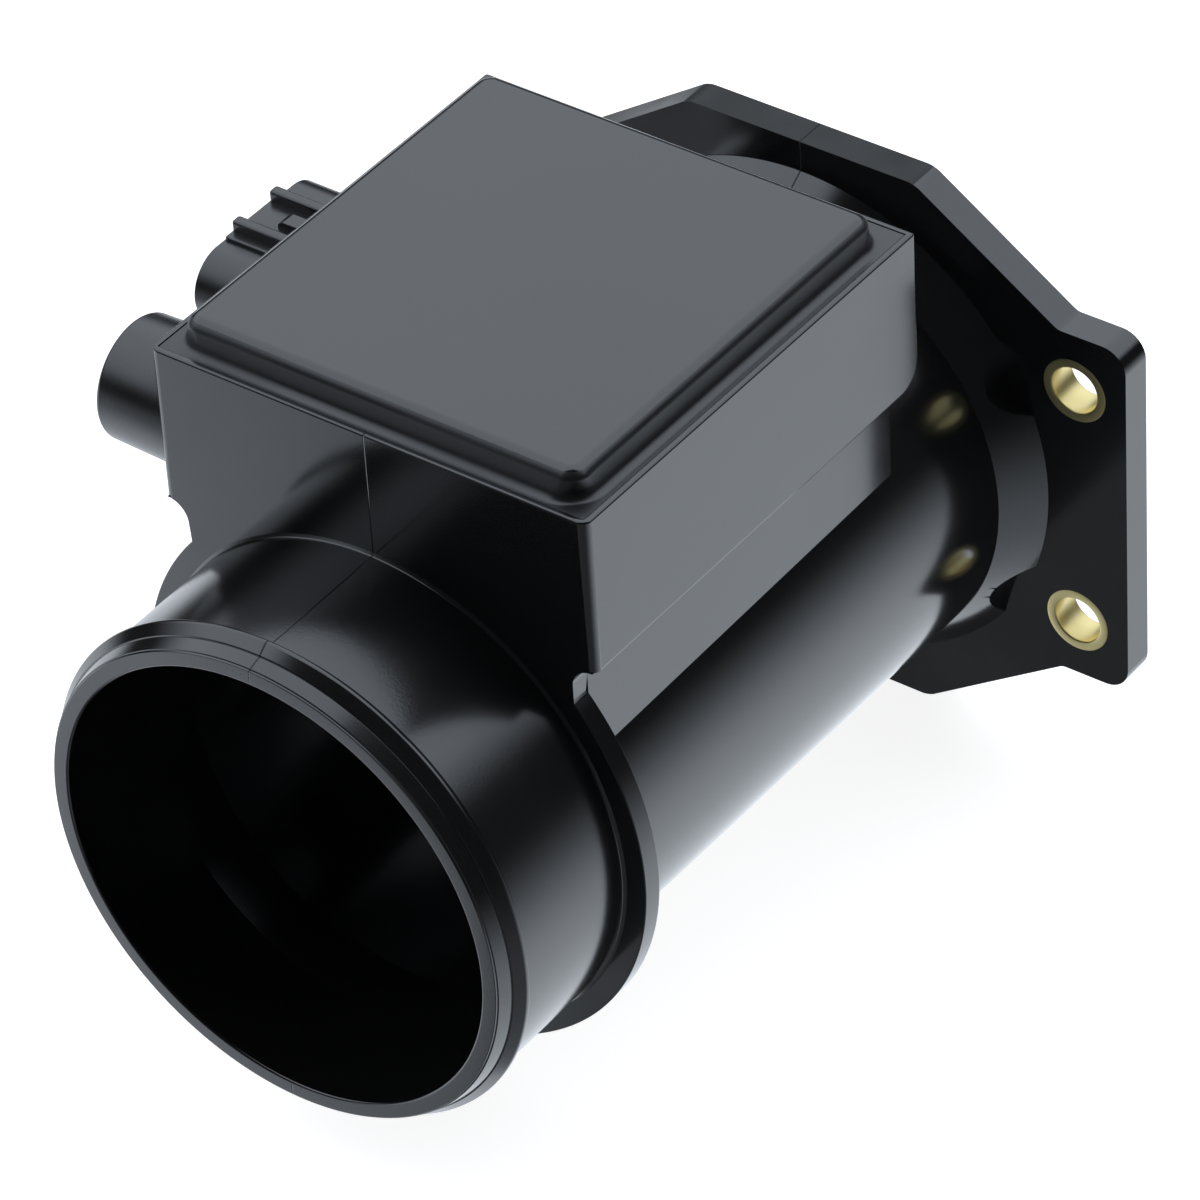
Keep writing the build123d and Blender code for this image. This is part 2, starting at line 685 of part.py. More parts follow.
def sensor_module():
    """Moulded carrier: seat flange, stem through the tube's crown, and bypass tube."""
    seat = block(
        -MODULE_FLANGE_HALF_X,
        MODULE_FLANGE_HALF_X,
        MODULE_Y - MODULE_FLANGE_HALF_Y,
        MODULE_Y + MODULE_FLANGE_HALF_Y,
        FLOOR_Z,
        BOARD_TOP_Z,
    )
    half = BYPASS_LENGTH / 2
    bypass = prism_y(Circle(BYPASS_R), MODULE_Y - half, MODULE_Y + half)
    carrier = seat + prism_z(stem_section(), 0, FLOOR_Z) + bypass
    carrier -= prism_y(Circle(BYPASS_BORE_R), MODULE_Y - half, MODULE_Y + half)
    mouths = carrier.edges().filter_by(GeomType.CIRCLE)
    mouths = mouths.filter_by(lambda e: abs(e.radius - BYPASS_BORE_R) < 0.01)
    carrier = chamfer(mouths, BYPASS_LIP_R)
    for x, y in pin_places().values():
        carrier -= support_pin(x, y)
    return carrier


def element(pin_x, y):
    """A wound ceramic rod between a pair of pins."""
    reach = pin_x - PIN_WIDTH / 2
    return prism_x(Pos(y, 0) * Circle(ELEMENT_R), -reach, reach)


# ---- screen ----
def flow_screen():
    """Square-mesh screen across the flange end of the bore."""
    sheet = Circle(SCREEN_RECESS_R)
    hole = SCREEN_PITCH - SCREEN_WEB
    reach = int(BORE_R / SCREEN_PITCH) + 1
    places = []
    for i in range(-reach, reach + 1):
        for j in range(-reach, reach + 1):
            corner_x = abs(i) * SCREEN_PITCH + hole / 2
            corner_z = abs(j) * SCREEN_PITCH + hole / 2
            if corner_x**2 + corner_z**2 < (BORE_R - SCREEN_WEB / 2) ** 2:
                places.append((i * SCREEN_PITCH, j * SCREEN_PITCH))
    sheet -= Sketch() + [Pos(x, z) * Rectangle(hole, hole) for x, z in places]
    return prism_y(sheet, -SCREEN_SEAT_DEPTH, -SCREEN_SEAT_DEPTH + SCREEN_THICK)


def screen_ring():
    """Ring pressed into the recess that holds the screen."""
    back = -SCREEN_SEAT_DEPTH + SCREEN_THICK
    return prism_y(Circle(SCREEN_RECESS_R) - Circle(BORE_R), back, back + RING_THICK)


def all_parts():
    """Every sub-part by node name."""
    parts = {
        "housing": housing(),
        "lid": lid(),
        "lid_seal": lid_seal(),
        "trimmer": trimmer(),
        "boss_plug": boss_plug(),
        "base_plate": base_plate(),
        "circuit_board": circuit_board(),
        "power_transistor": power_transistor(),
        "sensor_module": sensor_module(),
        "hot_element": element(HOT_PIN_X, HOT_Y),
        "cold_element": element(COLD_PIN_X, COLD_Y),
        "flow_screen": flow_screen(),
        "screen_ring": screen_ring(),
    }
    parts.update(board_parts())
    for number, (x, z) in enumerate(hole_places(), 1):
        parts[f"bushing_{number}"] = bushing(x, z)
    for number, y in enumerate(terminal_places(), 1):
        parts[f"terminal_{number}"] = terminal(y)
    for name, (x, y) in pin_places().items():
        parts[name] = support_pin(x, y)
    return parts


os.makedirs("parts", exist_ok=True)
for node, shape in all_parts().items():
    export_step(shape, os.path.join("parts", node + ".step"))
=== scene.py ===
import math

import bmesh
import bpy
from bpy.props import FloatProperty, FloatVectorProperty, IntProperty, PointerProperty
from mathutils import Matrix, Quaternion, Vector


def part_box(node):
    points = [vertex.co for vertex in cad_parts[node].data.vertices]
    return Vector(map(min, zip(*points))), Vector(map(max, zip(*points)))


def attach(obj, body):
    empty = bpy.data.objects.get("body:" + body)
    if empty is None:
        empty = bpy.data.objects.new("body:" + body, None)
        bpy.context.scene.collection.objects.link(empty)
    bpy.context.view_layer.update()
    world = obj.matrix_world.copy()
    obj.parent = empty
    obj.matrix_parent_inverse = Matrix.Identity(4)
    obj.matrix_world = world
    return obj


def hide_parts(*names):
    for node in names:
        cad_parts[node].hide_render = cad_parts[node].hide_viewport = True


bl_info = {
    "name": "Mass Airflow Sensor",
    "version": (1, 0, 0),
    "blender": (4, 5, 0),
    "location": "View3D > Sidebar > Airflow Sensor",
    "description": "Dresses the packed airflow sensor: duct, circuit box, lid, connector and bushings",
    "category": "Add Mesh",
}

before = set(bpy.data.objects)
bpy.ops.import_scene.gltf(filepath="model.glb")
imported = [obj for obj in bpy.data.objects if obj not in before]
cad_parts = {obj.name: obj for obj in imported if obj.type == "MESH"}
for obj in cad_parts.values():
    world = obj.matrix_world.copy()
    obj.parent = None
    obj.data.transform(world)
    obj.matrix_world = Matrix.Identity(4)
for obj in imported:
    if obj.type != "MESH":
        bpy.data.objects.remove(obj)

MM = 0.001

HOUSING_LOW, HOUSING_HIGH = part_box("housing")
LID_LOW, LID_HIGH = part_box("lid")
SCREEN_LOW, SCREEN_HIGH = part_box("flow_screen")
PLUG_LOW, PLUG_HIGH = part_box("boss_plug")
FLANGE_BACK_Y = HOUSING_HIGH.y
MOUTH_Y = HOUSING_LOW.y
SHROUD_MOUTH_X = -55.0 * MM  # plug socket's mouth
PLATE_Y = -108.5 * MM  # front plate's front, level with the box's
LID_DRAFT = 12.0  # slope of the raised panel's sides, in degrees
LID_ROOT_CORNER = 5.0 * MM  # rounding of the raised panel's corners at its foot
LID_TOP_CORNER = 2.6 * MM  # and at its top
HIDDEN_RADIUS = 36.0 * MM  # in the tube's wall, where the plate and the neck end
SCREEN_SEAT = 36.4 * MM  # radius of the seat for the screen in the flange
FLAT_END_X = 20.0 * MM  # end of the flange's flat top
EAR_X, EAR_Z = 44.5 * MM, 31.2 * MM  # where an ear's flat top begins, and its height
NECK_SETBACK = 1.9 * MM  # box's rear wall to the neck's
NECK_CORNER = 6.5 * MM  # rounding of the neck's rear corners
RAIL_OFFSET = 4.35 * MM  # socket's middle to a rail's
LIP_DEPTH = 2.95 * MM  # from the lip's edge down to the ledge under the lid
SLACK = 0.01 * MM  # sizes that differ by less are the same
SOCKET_DEPTH = 14.6 * MM  # plug socket's mouth to its floor
IN_WALL = 0.5 * MM  # how far the socket and its rails reach into the box's wall
BOSS_LENGTH = 12.2 * MM  # adjuster's boss, out from the box's wall
BOSS_DEPTH = 9.8 * MM  # its end to its floor
GROOVE_DEPTH = 0.3 * MM  # narrow groove behind the hose bead
# The mouth's ring up to the hose bead: radius, distance from the mouth and rounding, in mm.
MOUTH_RING = (
    (38.7, 0.0, 0.12), (38.75, 0.3, 0.05), (38.95, 0.36, 0.05),
    (39.55, 2.4, 0.1), (39.5, 2.55, 0.05), (39.75, 2.6, 0.08),
)


def number(name, description, default, **options):
    """A number, in the unit that its description gives."""
    return FloatProperty(name=name, description=description, default=default, **options)


def length(name, description, size):
    """A size given in millimetres and kept in metres."""
    return number(name, description, size * MM, min=0.0, unit="LENGTH", precision=5)


def position(name, description, place):
    """A place along an axis, given in millimetres and kept in metres."""
    return number(name, description, place * MM, unit="LENGTH")


def colour(name, description, default):
    """A linear colour with its alpha."""
    return FloatVectorProperty(
        name=name, description=description, default=default, subtype="COLOR", size=4, min=0.0, max=1.0
    )


class DuctSizes(bpy.types.PropertyGroup):
    """Sizes of the turned duct, its hose spigot and the hub."""

    bore: length("Bore radius", "Radius of the air passage", 34.2)
    mouth_bore: length("Mouth bore radius", "Radius of the wide bore at the hose end", 36.2)
    mouth_depth: length("Mouth bore depth", "Depth of the wide bore", 18.0)
    spigot: length("Spigot radius", "Radius of the hose spigot", 40.0)
    bead: length("Bead radius", "Radius of the hose bead's crest", 41.0)
    tube_front: length("Tube front radius", "Tube radius behind the front plate", 37.3)
    tube_rear: length("Tube rear radius", "Tube radius at the hub", 38.1)
    plate: length("Plate radius", "Radius of the front plate's disc", 43.76)
    plate_thickness: length("Plate thickness", "Thickness of the front plate", 3.3)
    hub: length("Hub radius", "Radius where the hub meets the flange", 42.5)
    hub_length: length("Hub length", "Length of the hub's cone", 6.6)
    pocket: length("Bolt pocket radius", "Radius cut from the hub beside each bolt", 8.8)
    pocket_in: length("Bolt pocket inset", "Bolt to the pocket's centre, towards the bore", 4.4)
    pocket_up: length("Bolt pocket raise", "Bolt to the pocket's centre, up or down", 1.1)
    steps: IntProperty(name="Turning steps", description="Facets round the duct", default=288, min=24)


class FlangeSizes(bpy.types.PropertyGroup):
    """Sizes of the bolted flange and its bushings."""

    thickness: length("Flange thickness", "Thickness of the flange", 5.4)
    half_width: length("Half width", "Centre to the ears' ends", 56.1)
    half_height: length("Half height", "Centre to the flat top", 47.7)
    hole_spacing_x: length("Hole spacing across", "Bolt spacing across the ears", 94.5)
    hole_spacing_z: length("Hole spacing up", "Bolt spacing up the ears", 42.6)
    bushing: length("Bushing radius", "Outside radius of a brass bushing", 5.34)
    bushing_hole: length("Bushing hole radius", "Bolt hole radius", 3.85)


class BoxSizes(bpy.types.PropertyGroup):
    """Sizes of the circuit box, its neck and the lid."""

    half_width: length("Box half width", "Centre to the box's side", 37.4)
    bottom: length("Box bottom", "Height of the box's underside", 35.0)
    top: length("Box top", "Height of the lip round the lid", 60.85)
    rear: length("Box length", "Front face to the rear wall", 78.3)
    corner: length("Corner rounding", "Rounding of the box's upright edges", 1.5)
    edge: length("Edge rounding", "Rounding of the box's lower and rear edges", 0.45)
    heel: length("Heel rounding", "Rounding under the rear wall", 4.5)
    neck_half_width: length("Neck half width", "Centre to the neck's side", 33.4)
    neck_web: length("Neck web", "Concave web between neck and box", 3.5)
    lip: length("Lip thickness", "Thin wall round the lid", 0.9)
    lid_margin: length("Lid margin", "Box's side to the raised panel's top", 3.8)
    lid_front: length("Lid front margin", "Box's front to the raised panel's top", 3.4)
    lid_rear: length("Lid rear margin", "Box's rear wall to the raised panel's top", 4.6)
    lid_rise: length("Lid rise", "Raised panel above the lid's margin", 4.7)
    lid_crest: length("Lid top rounding", "Rounding round the raised panel's top", 2.0)
    lid_foot: length("Lid foot", "Fillet between the raised panel and its margin", 1.2)


class ConnectorSizes(bpy.types.PropertyGroup):
    """Sizes of the plug socket and the adjuster's boss."""

    centre_y: position("Socket place", "Where the socket stands along the bore", -63.7)
    centre_z: length("Socket height", "Height of the socket's centre", 43.35)
    width: length("Socket width", "Width of the oval shroud", 29.4)
    height: length("Socket depth", "Height of the oval shroud", 11.6)
    wall: length("Socket wall", "Thickness of the shroud's wall", 1.5)
    boss: length("Boss radius", "Radius of the adjuster's boss", 9.5)
    boss_y: position("Boss place", "Where the boss stands along the bore", -98.1)
    boss_z: length("Boss height", "Height of the boss's centre", 44.6)


class Finishes(bpy.types.PropertyGroup):
    """Colours of the sensor's materials."""

    housing: colour("Housing", "Moulded housing", (0.010, 0.0102, 0.0108, 1.0))
    lid: colour("Lid", "Moulded lid", (0.010, 0.0102, 0.0115, 1.0))
    shroud: colour("Connector", "Connector and boss", (0.009, 0.009, 0.0095, 1.0))
    brass: colour("Brass", "Bushings", (0.96, 0.83, 0.42, 1.0))
    steel: colour("Steel", "Screen and pins", (0.55, 0.56, 0.57, 1.0))


# ---- nodes ----
GRAIN_DEPTH = 0.06 * MM
SEAM_CORE = 0.02 * MM


def add_node(tree, kind, inputs=None, **settings):
    """A node with its settings; an input is a value or the output that feeds it."""
    node = tree.nodes.new("ShaderNode" + kind)
    for key, value in settings.items():
        setattr(node, key, value)
    for socket, value in (inputs or {}).items():
        if isinstance(value, bpy.types.NodeSocket):
            tree.links.new(value, node.inputs[socket])
        else:
            node.inputs[socket].default_value = value
    return node


def worked(tree, operation, first, second=0.0):
    """Result of one sum on one or two values."""
    return add_node(tree, "Math", {0: first, 1: second}, operation=operation).outputs[0]


def eased(tree, value, start, end, first, last):
    """A value eased from first to last while another goes from start to end."""
    inputs = {"Value": value, "From Min": start, "From Max": end, "To Min": first, "To Max": last}
    return add_node(tree, "MapRange", inputs, interpolation_type="SMOOTHSTEP").outputs["Result"]


def new_group(name, numbers, result, kind="NodeSocketFloat"):
    """A node group with named numbers and one result: its tree, its inputs and its end."""
    tree = bpy.data.node_groups.new(name, "ShaderNodeTree")
    for label, default in numbers.items():
        socket = tree.interface.new_socket(name=label, in_out="INPUT", socket_type="NodeSocketFloat")
        socket.default_value = default
        socket.min_value = 0.0
    tree.interface.new_socket(name=result, in_out="OUTPUT", socket_type=kind)
    given = tree.nodes.new("NodeGroupInput").outputs
    return tree, given, tree.nodes.new("NodeGroupOutput").inputs[result]


def fine_grain_group():
    """Shader group: fine moulding grain as a bumped normal."""
    numbers = {"Scale": 4000.0, "Strength": 0.03}
    tree, given, result = new_group("Fine grain", numbers, "Normal", "NodeSocketVector")
    place = add_node(tree, "TexCoord").outputs["Object"]
    noise = add_node(tree, "TexNoise", {
        "Vector": place, "Scale": given["Scale"], "Detail": 3.0, "Roughness": 0.6,
    })
    bump = add_node(tree, "Bump", {
        "Strength": given["Strength"], "Distance": GRAIN_DEPTH, "Height": noise.outputs["Fac"],
    })
    tree.links.new(bump.outputs["Normal"], result)
    return tree


def uneven_gloss_group():
    """Shader group: roughness that wanders a little over a moulded surface."""
    numbers = {"Scale": 60.0, "Lowest": 0.1, "Highest": 0.14}
    tree, given, result = new_group("Uneven gloss", numbers, "Roughness")
    place = add_node(tree, "TexCoord").outputs["Object"]
    noise = add_node(tree, "TexNoise", {"Vector": place, "Scale": given["Scale"], "Detail": 4.0})
    spread = add_node(tree, "MapRange", {
        "Value": noise.outputs["Fac"], "From Min": 0.35, "From Max": 0.65,
        "To Min": given["Lowest"], "To Max": given["Highest"],
    })
    tree.links.new(spread.outputs["Result"], result)
    return tree


def mould_seam_group():
    """Shader group: the fine witness line of the mould's parting plane, x = 0, outside the bore."""
    numbers = {"Half width": 0.13 * MM, "Clear radius": 36.8 * MM}
    tree, given, result = new_group("Mould seam", numbers, "Line")
    place = add_node(tree, "TexCoord").outputs["Object"]
    parts = add_node(tree, "SeparateXYZ", {"Vector": place}).outputs
    line = eased(tree, worked(tree, "ABSOLUTE", parts["X"]), SEAM_CORE, given["Half width"], 1.0, 0.0)
    squares = [worked(tree, "POWER", parts[axis], 2.0) for axis in ("X", "Z")]
    radius = worked(tree, "SQRT", worked(tree, "ADD", *squares))
    outside = worked(tree, "GREATER_THAN", radius, given["Clear radius"])
    tree.links.new(worked(tree, "MULTIPLY", line, outside), result)
    return tree


def add_group(tree, name, build, **values):
    """A group node with its own values; the group is built the first time it is asked for."""
    group = bpy.data.node_groups.get(name) or build()
    return add_node(tree, "Group", values, node_tree=group)


# ---- materials ----
SEAM_DEPTH = 0.12 * MM
SEAM_COLOUR = (0.0015, 0.0015, 0.0018, 1.0)
PLASTIC_SHEEN = (0.93, 0.96, 1.0, 1.0)
PLASTIC_PATCHES, METAL_PATCHES = 45.0, 200.0
METAL_IOR = 1.5
# Each finish: its colour or the name of a chosen one, the range of its roughness, and its
# grain's scale and strength; then a plastic's index of refraction and whether the mould's
# seam crosses it, or how metallic a metal is.
PLASTICS = {
    "black_housing": ("housing", (0.10, 0.15), (2600.0, 0.05), 1.9, True),
    "black_spigot": ("housing", (0.15, 0.21), (2200.0, 0.16), 1.9, True),
    "scuffed_edge": ("housing", (0.28, 0.5), (1400.0, 0.25), 1.5, True),
    "black_lid": ("lid", (0.14, 0.18), (3200.0, 0.06), 1.9, False),
    "lid_rim": ("lid", (0.34, 0.44), (2600.0, 0.1), 1.9, False),
    "black_connector": ("shroud", (0.22, 0.3), (2600.0, 0.12), 1.9, False),
    "grey_sealant": ((0.02, 0.02, 0.021, 1.0), (0.45, 0.6), (900.0, 0.2), 1.45, False),
    "white_ceramic": ((0.62, 0.6, 0.55, 1.0), (0.35, 0.5), (1500.0, 0.1), 1.6, False),
    "carrier_plastic": ((0.012, 0.012, 0.012, 1.0), (0.3, 0.4), (1800.0, 0.1), 1.5, False),
    "package_plastic": ((0.015, 0.015, 0.016, 1.0), (0.4, 0.5), (1500.0, 0.15), 1.5, False),
}
METALS = {
    "bushing_metal": ("brass", (0.34, 0.44), (1500.0, 0.12), 0.85),
    "bright_steel": ("steel", (0.2, 0.32), (1200.0, 0.1), 1.0),
    "plate_metal": ((0.8, 0.81, 0.82, 1.0), (0.3, 0.42), (700.0, 0.15), 1.0),
    "wound_element": ((0.78, 0.76, 0.72, 1.0), (0.2, 0.3), (4000.0, 0.1), 1.0),
}


def grained_shader(name, base, gloss, grain, patches):
    """A material with an uneven gloss and a fine grain: its tree, shader and grain's normal."""
    material = bpy.data.materials.new(name)
    material.use_nodes = True
    tree = material.node_tree
    shader = tree.nodes["Principled BSDF"]
    shader.inputs["Base Color"].default_value = base
    shader.inputs["Roughness"].default_value = sum(gloss) / 2
    rough = add_group(
        tree, "Uneven gloss", uneven_gloss_group, Scale=patches, Lowest=gloss[0], Highest=gloss[1]
    )
    fine = add_group(tree, "Fine grain", fine_grain_group, Scale=grain[0], Strength=grain[1])
    tree.links.new(rough.outputs["Roughness"], shader.inputs["Roughness"])
    return tree, shader, fine.outputs["Normal"]


def moulded_plastic(name, base, gloss, grain, ior, seam):
    """Moulded plastic; on the housing with the mould's seam."""
    tree, shader, normal = grained_shader(name, base, gloss, grain, PLASTIC_PATCHES)
    shader.inputs["IOR"].default_value = ior
    shader.inputs["Specular Tint"].default_value = PLASTIC_SHEEN
    if seam:
        line = add_group(tree, "Mould seam", mould_seam_group).outputs["Line"]
        groove = add_node(tree, "Bump", {
            "Strength": 0.9, "Distance": SEAM_DEPTH, "Height": line, "Normal": normal,
        }, invert=True)
        normal = groove.outputs["Normal"]
        shade = add_node(tree, "Mix", {0: line, 6: base, 7: SEAM_COLOUR}, data_type="RGBA")
        tree.links.new(shade.outputs[2], shader.inputs["Base Color"])
    tree.links.new(normal, shader.inputs["Normal"])


def turned_metal(name, base, gloss, grain, metallic):
    """Machined metal."""
    tree, shader, normal = grained_shader(name, base, gloss, grain, METAL_PATCHES)
    shader.inputs["IOR"].default_value = METAL_IOR
    shader.inputs["Metallic"].default_value = metallic
    tree.links.new(normal, shader.inputs["Normal"])


def finish_named(name):
    """The sensor's material of that name, made once."""
    if name not in bpy.data.materials:
        make, row = (moulded_plastic, PLASTICS) if name in PLASTICS else (turned_metal, METALS)
        base, *rest = row[name]
        if isinstance(base, str):
            base = getattr(bpy.context.scene.airflow_finishes, base)
        make(name, base, *rest)
    return bpy.data.materials[name]


# ---- mesh helpers ----
def drawn_outline(bm, corners, place, segments=6):
    """A closed outline from (a, b) or (a, b, rounding) corners; place gives a corner's point."""
    verts = [bm.verts.new(place(*corner[:2])) for corner in corners]
    for i, vert in enumerate(verts):
        bm.edges.new((verts[i - 1], vert))
    for vert, (_, _, *rounding) in zip(verts, corners):
        if not rounding:
            continue
        arms = [(edge.other_vert(vert).co - vert.co).normalized() for edge in vert.link_edges]
        half = arms[0].angle(arms[1]) / 2
        bmesh.ops.bevel(
            bm, geom=[vert], offset=rounding[0] / math.tan(half), offset_type="OFFSET",
            segments=segments, profile=0.5, affect="VERTICES", clamp_overlap=False, material=-1,
        )
    return bm.edges[:]


def outward(bm):
    """Turns every face outward."""
    bmesh.ops.recalc_face_normals(bm, faces=bm.faces[:])


def filled(bm, normal):
    """Fills a flat outline and its holes."""
    bmesh.ops.triangle_fill(bm, use_beauty=True, use_dissolve=False, edges=bm.edges[:], normal=normal)


def draw_out(bm, faces, way, keep=True):
    """Draws faces out along a vector; gives the points that moved."""
    drawn = bmesh.ops.extrude_face_region(bm, geom=faces, use_keep_orig=keep)
    moved = [part for part in drawn["geom"] if isinstance(part, bmesh.types.BMVert)]
    bmesh.ops.translate(bm, vec=way, verts=moved)
    if not keep:
        bmesh.ops.delete(bm, geom=faces, context="FACES_ONLY")
    return moved


def stood_up(x, y, z):
    """Stands flat work up to face along the bore, at a point."""
    return Matrix.Translation((x, y, z)) @ Matrix.Rotation(math.radians(90), 4, "X")


def turned_mesh(corners, steps, origin=(0, 0, 0), axis=(0, 1, 0), arm=(1, 0, 0)):
    """A closed outline of radii and places along an axis, spun round the axis."""
    bm = bmesh.new()
    origin, axis, arm = Vector(origin), Vector(axis), Vector(arm)
    drawn_outline(bm, corners, lambda r, along: origin + arm * r + axis * along)
    bmesh.ops.spin(
        bm, geom=bm.verts[:] + bm.edges[:], cent=origin, axis=axis, angle=math.tau,
        steps=steps, use_merge=True,
    )
    return bm


def prism_mesh(corners, place, way, segments):
    """A filled outline drawn out along a vector."""
    bm = bmesh.new()
    edges = drawn_outline(bm, corners, place, segments)
    face = bmesh.ops.contextual_create(bm, geom=edges)["faces"][0]
    draw_out(bm, [face], way)
    outward(bm)
    return bm


def block_mesh(low, high):
    """A block between two corners."""
    bm = bmesh.new()
    middle = [(a + b) / 2 for a, b in zip(low, high)]
    size = Matrix.Diagonal([b - a for a, b in zip(low, high)] + [1.0])
    bmesh.ops.create_cube(bm, size=1.0, matrix=Matrix.Translation(middle) @ size)
    return bm


def rod(bm, radius, depth, segments, place):
    """A round rod with closed ends."""
    bmesh.ops.create_cone(
        bm, cap_ends=True, segments=segments, radius1=radius, radius2=radius, depth=depth, matrix=place
    )


def edges_where(bm, test, angle=20.0):
    """Creased edges whose two ends both pass a test; the angle is in degrees."""
    limit = math.radians(angle)
    return [
        edge for edge in bm.edges
        if len(edge.link_faces) == 2 and edge.calc_face_angle() > limit
        and all(test(v.co) for v in edge.verts)
    ]


def break_edges(bm, edges, offset, segments=3, clamp=True):
    """Rounds a set of edges."""
    bmesh.ops.bevel(
        bm, geom=edges, offset=offset, offset_type="OFFSET", segments=segments, profile=0.5,
        affect="EDGES", clamp_overlap=clamp, material=-1,
    )


def round_where(bm, test, offset, segments=3, angle=20.0):
    """Rounds the creased edges whose two ends both pass a test."""
    break_edges(bm, edges_where(bm, test, angle), offset, segments)


def near(value, target):
    """Whether two sizes agree."""
    return abs(value - target) < SLACK


def modify(piece, kind, **settings):
    """Adds a modifier with its settings."""
    modifier = piece.modifiers.new(kind.title(), kind)
    for key, value in settings.items():
        setattr(modifier, key, value)


def linked_object(bm, name):
    """Turns a bmesh into an object of the scene."""
    mesh = bpy.data.meshes.new(name)
    bm.to_mesh(mesh)
    bm.free()
    made = bpy.data.objects.new(name, mesh)
    bpy.context.scene.collection.objects.link(made)
    return made


def into_piece(bm, name, material, stands_for, slot, crease=32.0, weigh=True, second=None):
    """A finished piece on the root body; faces with index 1 take the second finish."""
    bmesh.ops.remove_doubles(bm, verts=bm.verts[:], dist=1e-6)
    bmesh.ops.dissolve_degenerate(bm, edges=bm.edges[:], dist=1e-7)
    outward(bm)
    limit = math.radians(crease)
    for face in bm.faces:
        face.smooth = True
    for edge in bm.edges:
        edge.smooth = len(edge.link_faces) == 2 and edge.calc_face_angle() < limit
    piece = linked_object(bm, name)
    piece.data.materials.append(finish_named(material))
    if second:
        piece.data.materials.append(finish_named(second))
    if weigh:
        modify(piece, "WEIGHTED_NORMAL", keep_sharp=True, weight=100)
    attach(piece, "root")
    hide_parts(*stands_for)


def housing_piece(bm, name, material="black_housing", **options):
    """A finished piece of the one-piece housing."""
    into_piece(bm, "housing_" + name, material, ["housing"], "housing_plastic", **options)


def hole_places(sizes):
    """Bolt centres in x and z."""
    half_x = sizes.hole_spacing_x / 2
    half_z = sizes.hole_spacing_z / 2
    return [(x, z) for x in (-half_x, half_x) for z in (-half_z, half_z)]


# ---- housing ----
class AIRFLOW_OT_duct(bpy.types.Operator):
    """Turned duct: hose spigot, bead, tube and bore"""

    bl_idname = "airflow.duct"
    bl_label = "Duct"

    def execute(self, context):
        s = context.scene.airflow_duct
        back = PLATE_Y + s.plate_thickness
        hub_front = FLANGE_BACK_Y - context.scene.airflow_flange.thickness - s.hub_length
        m = MOUTH_Y
        wall = [
            (s.mouth_bore, m + s.mouth_depth, 1.0 * MM),
            (s.mouth_bore, m, 0.35 * MM),
            *[(radius * MM, m + along * MM, rounding * MM) for radius, along, rounding in MOUTH_RING],
            (s.bead, m + 4.1 * MM, 0.5 * MM),
            (s.bead, m + 4.75 * MM, 0.25 * MM),
            (s.spigot - GROOVE_DEPTH, m + 4.95 * MM, 0.1 * MM),
            (s.spigot - GROOVE_DEPTH, m + 5.3 * MM, 0.1 * MM),
            (s.spigot, m + 5.6 * MM, 0.2 * MM),
            (s.spigot, PLATE_Y - 0.35 * MM, 0.3 * MM),
            (s.spigot + 0.5 * MM, PLATE_Y),
            (s.spigot + 0.5 * MM, PLATE_Y + 0.5 * MM),
            (s.tube_front, PLATE_Y + 0.5 * MM),
            (s.tube_front, back),
            (s.tube_rear, hub_front),
            (s.tube_rear, FLANGE_BACK_Y - 1.0 * MM),
            (SCREEN_SEAT, FLANGE_BACK_Y - 1.0 * MM),
            (SCREEN_SEAT, FLANGE_BACK_Y - 9.0 * MM),
            (s.bore, FLANGE_BACK_Y - 9.0 * MM),
            (s.bore, m + s.mouth_depth + 8.0 * MM, 1.0 * MM),
        ]
        bm = turned_mesh(wall, s.steps)
        for face in bm.faces:
            place = face.calc_center_median()
            outside = math.hypot(place.x, place.z) > s.tube_front
            face.material_index = int(outside and m + 5.0 * MM < place.y < PLATE_Y)
        housing_piece(bm, "duct", second="black_spigot")
        return {"FINISHED"}


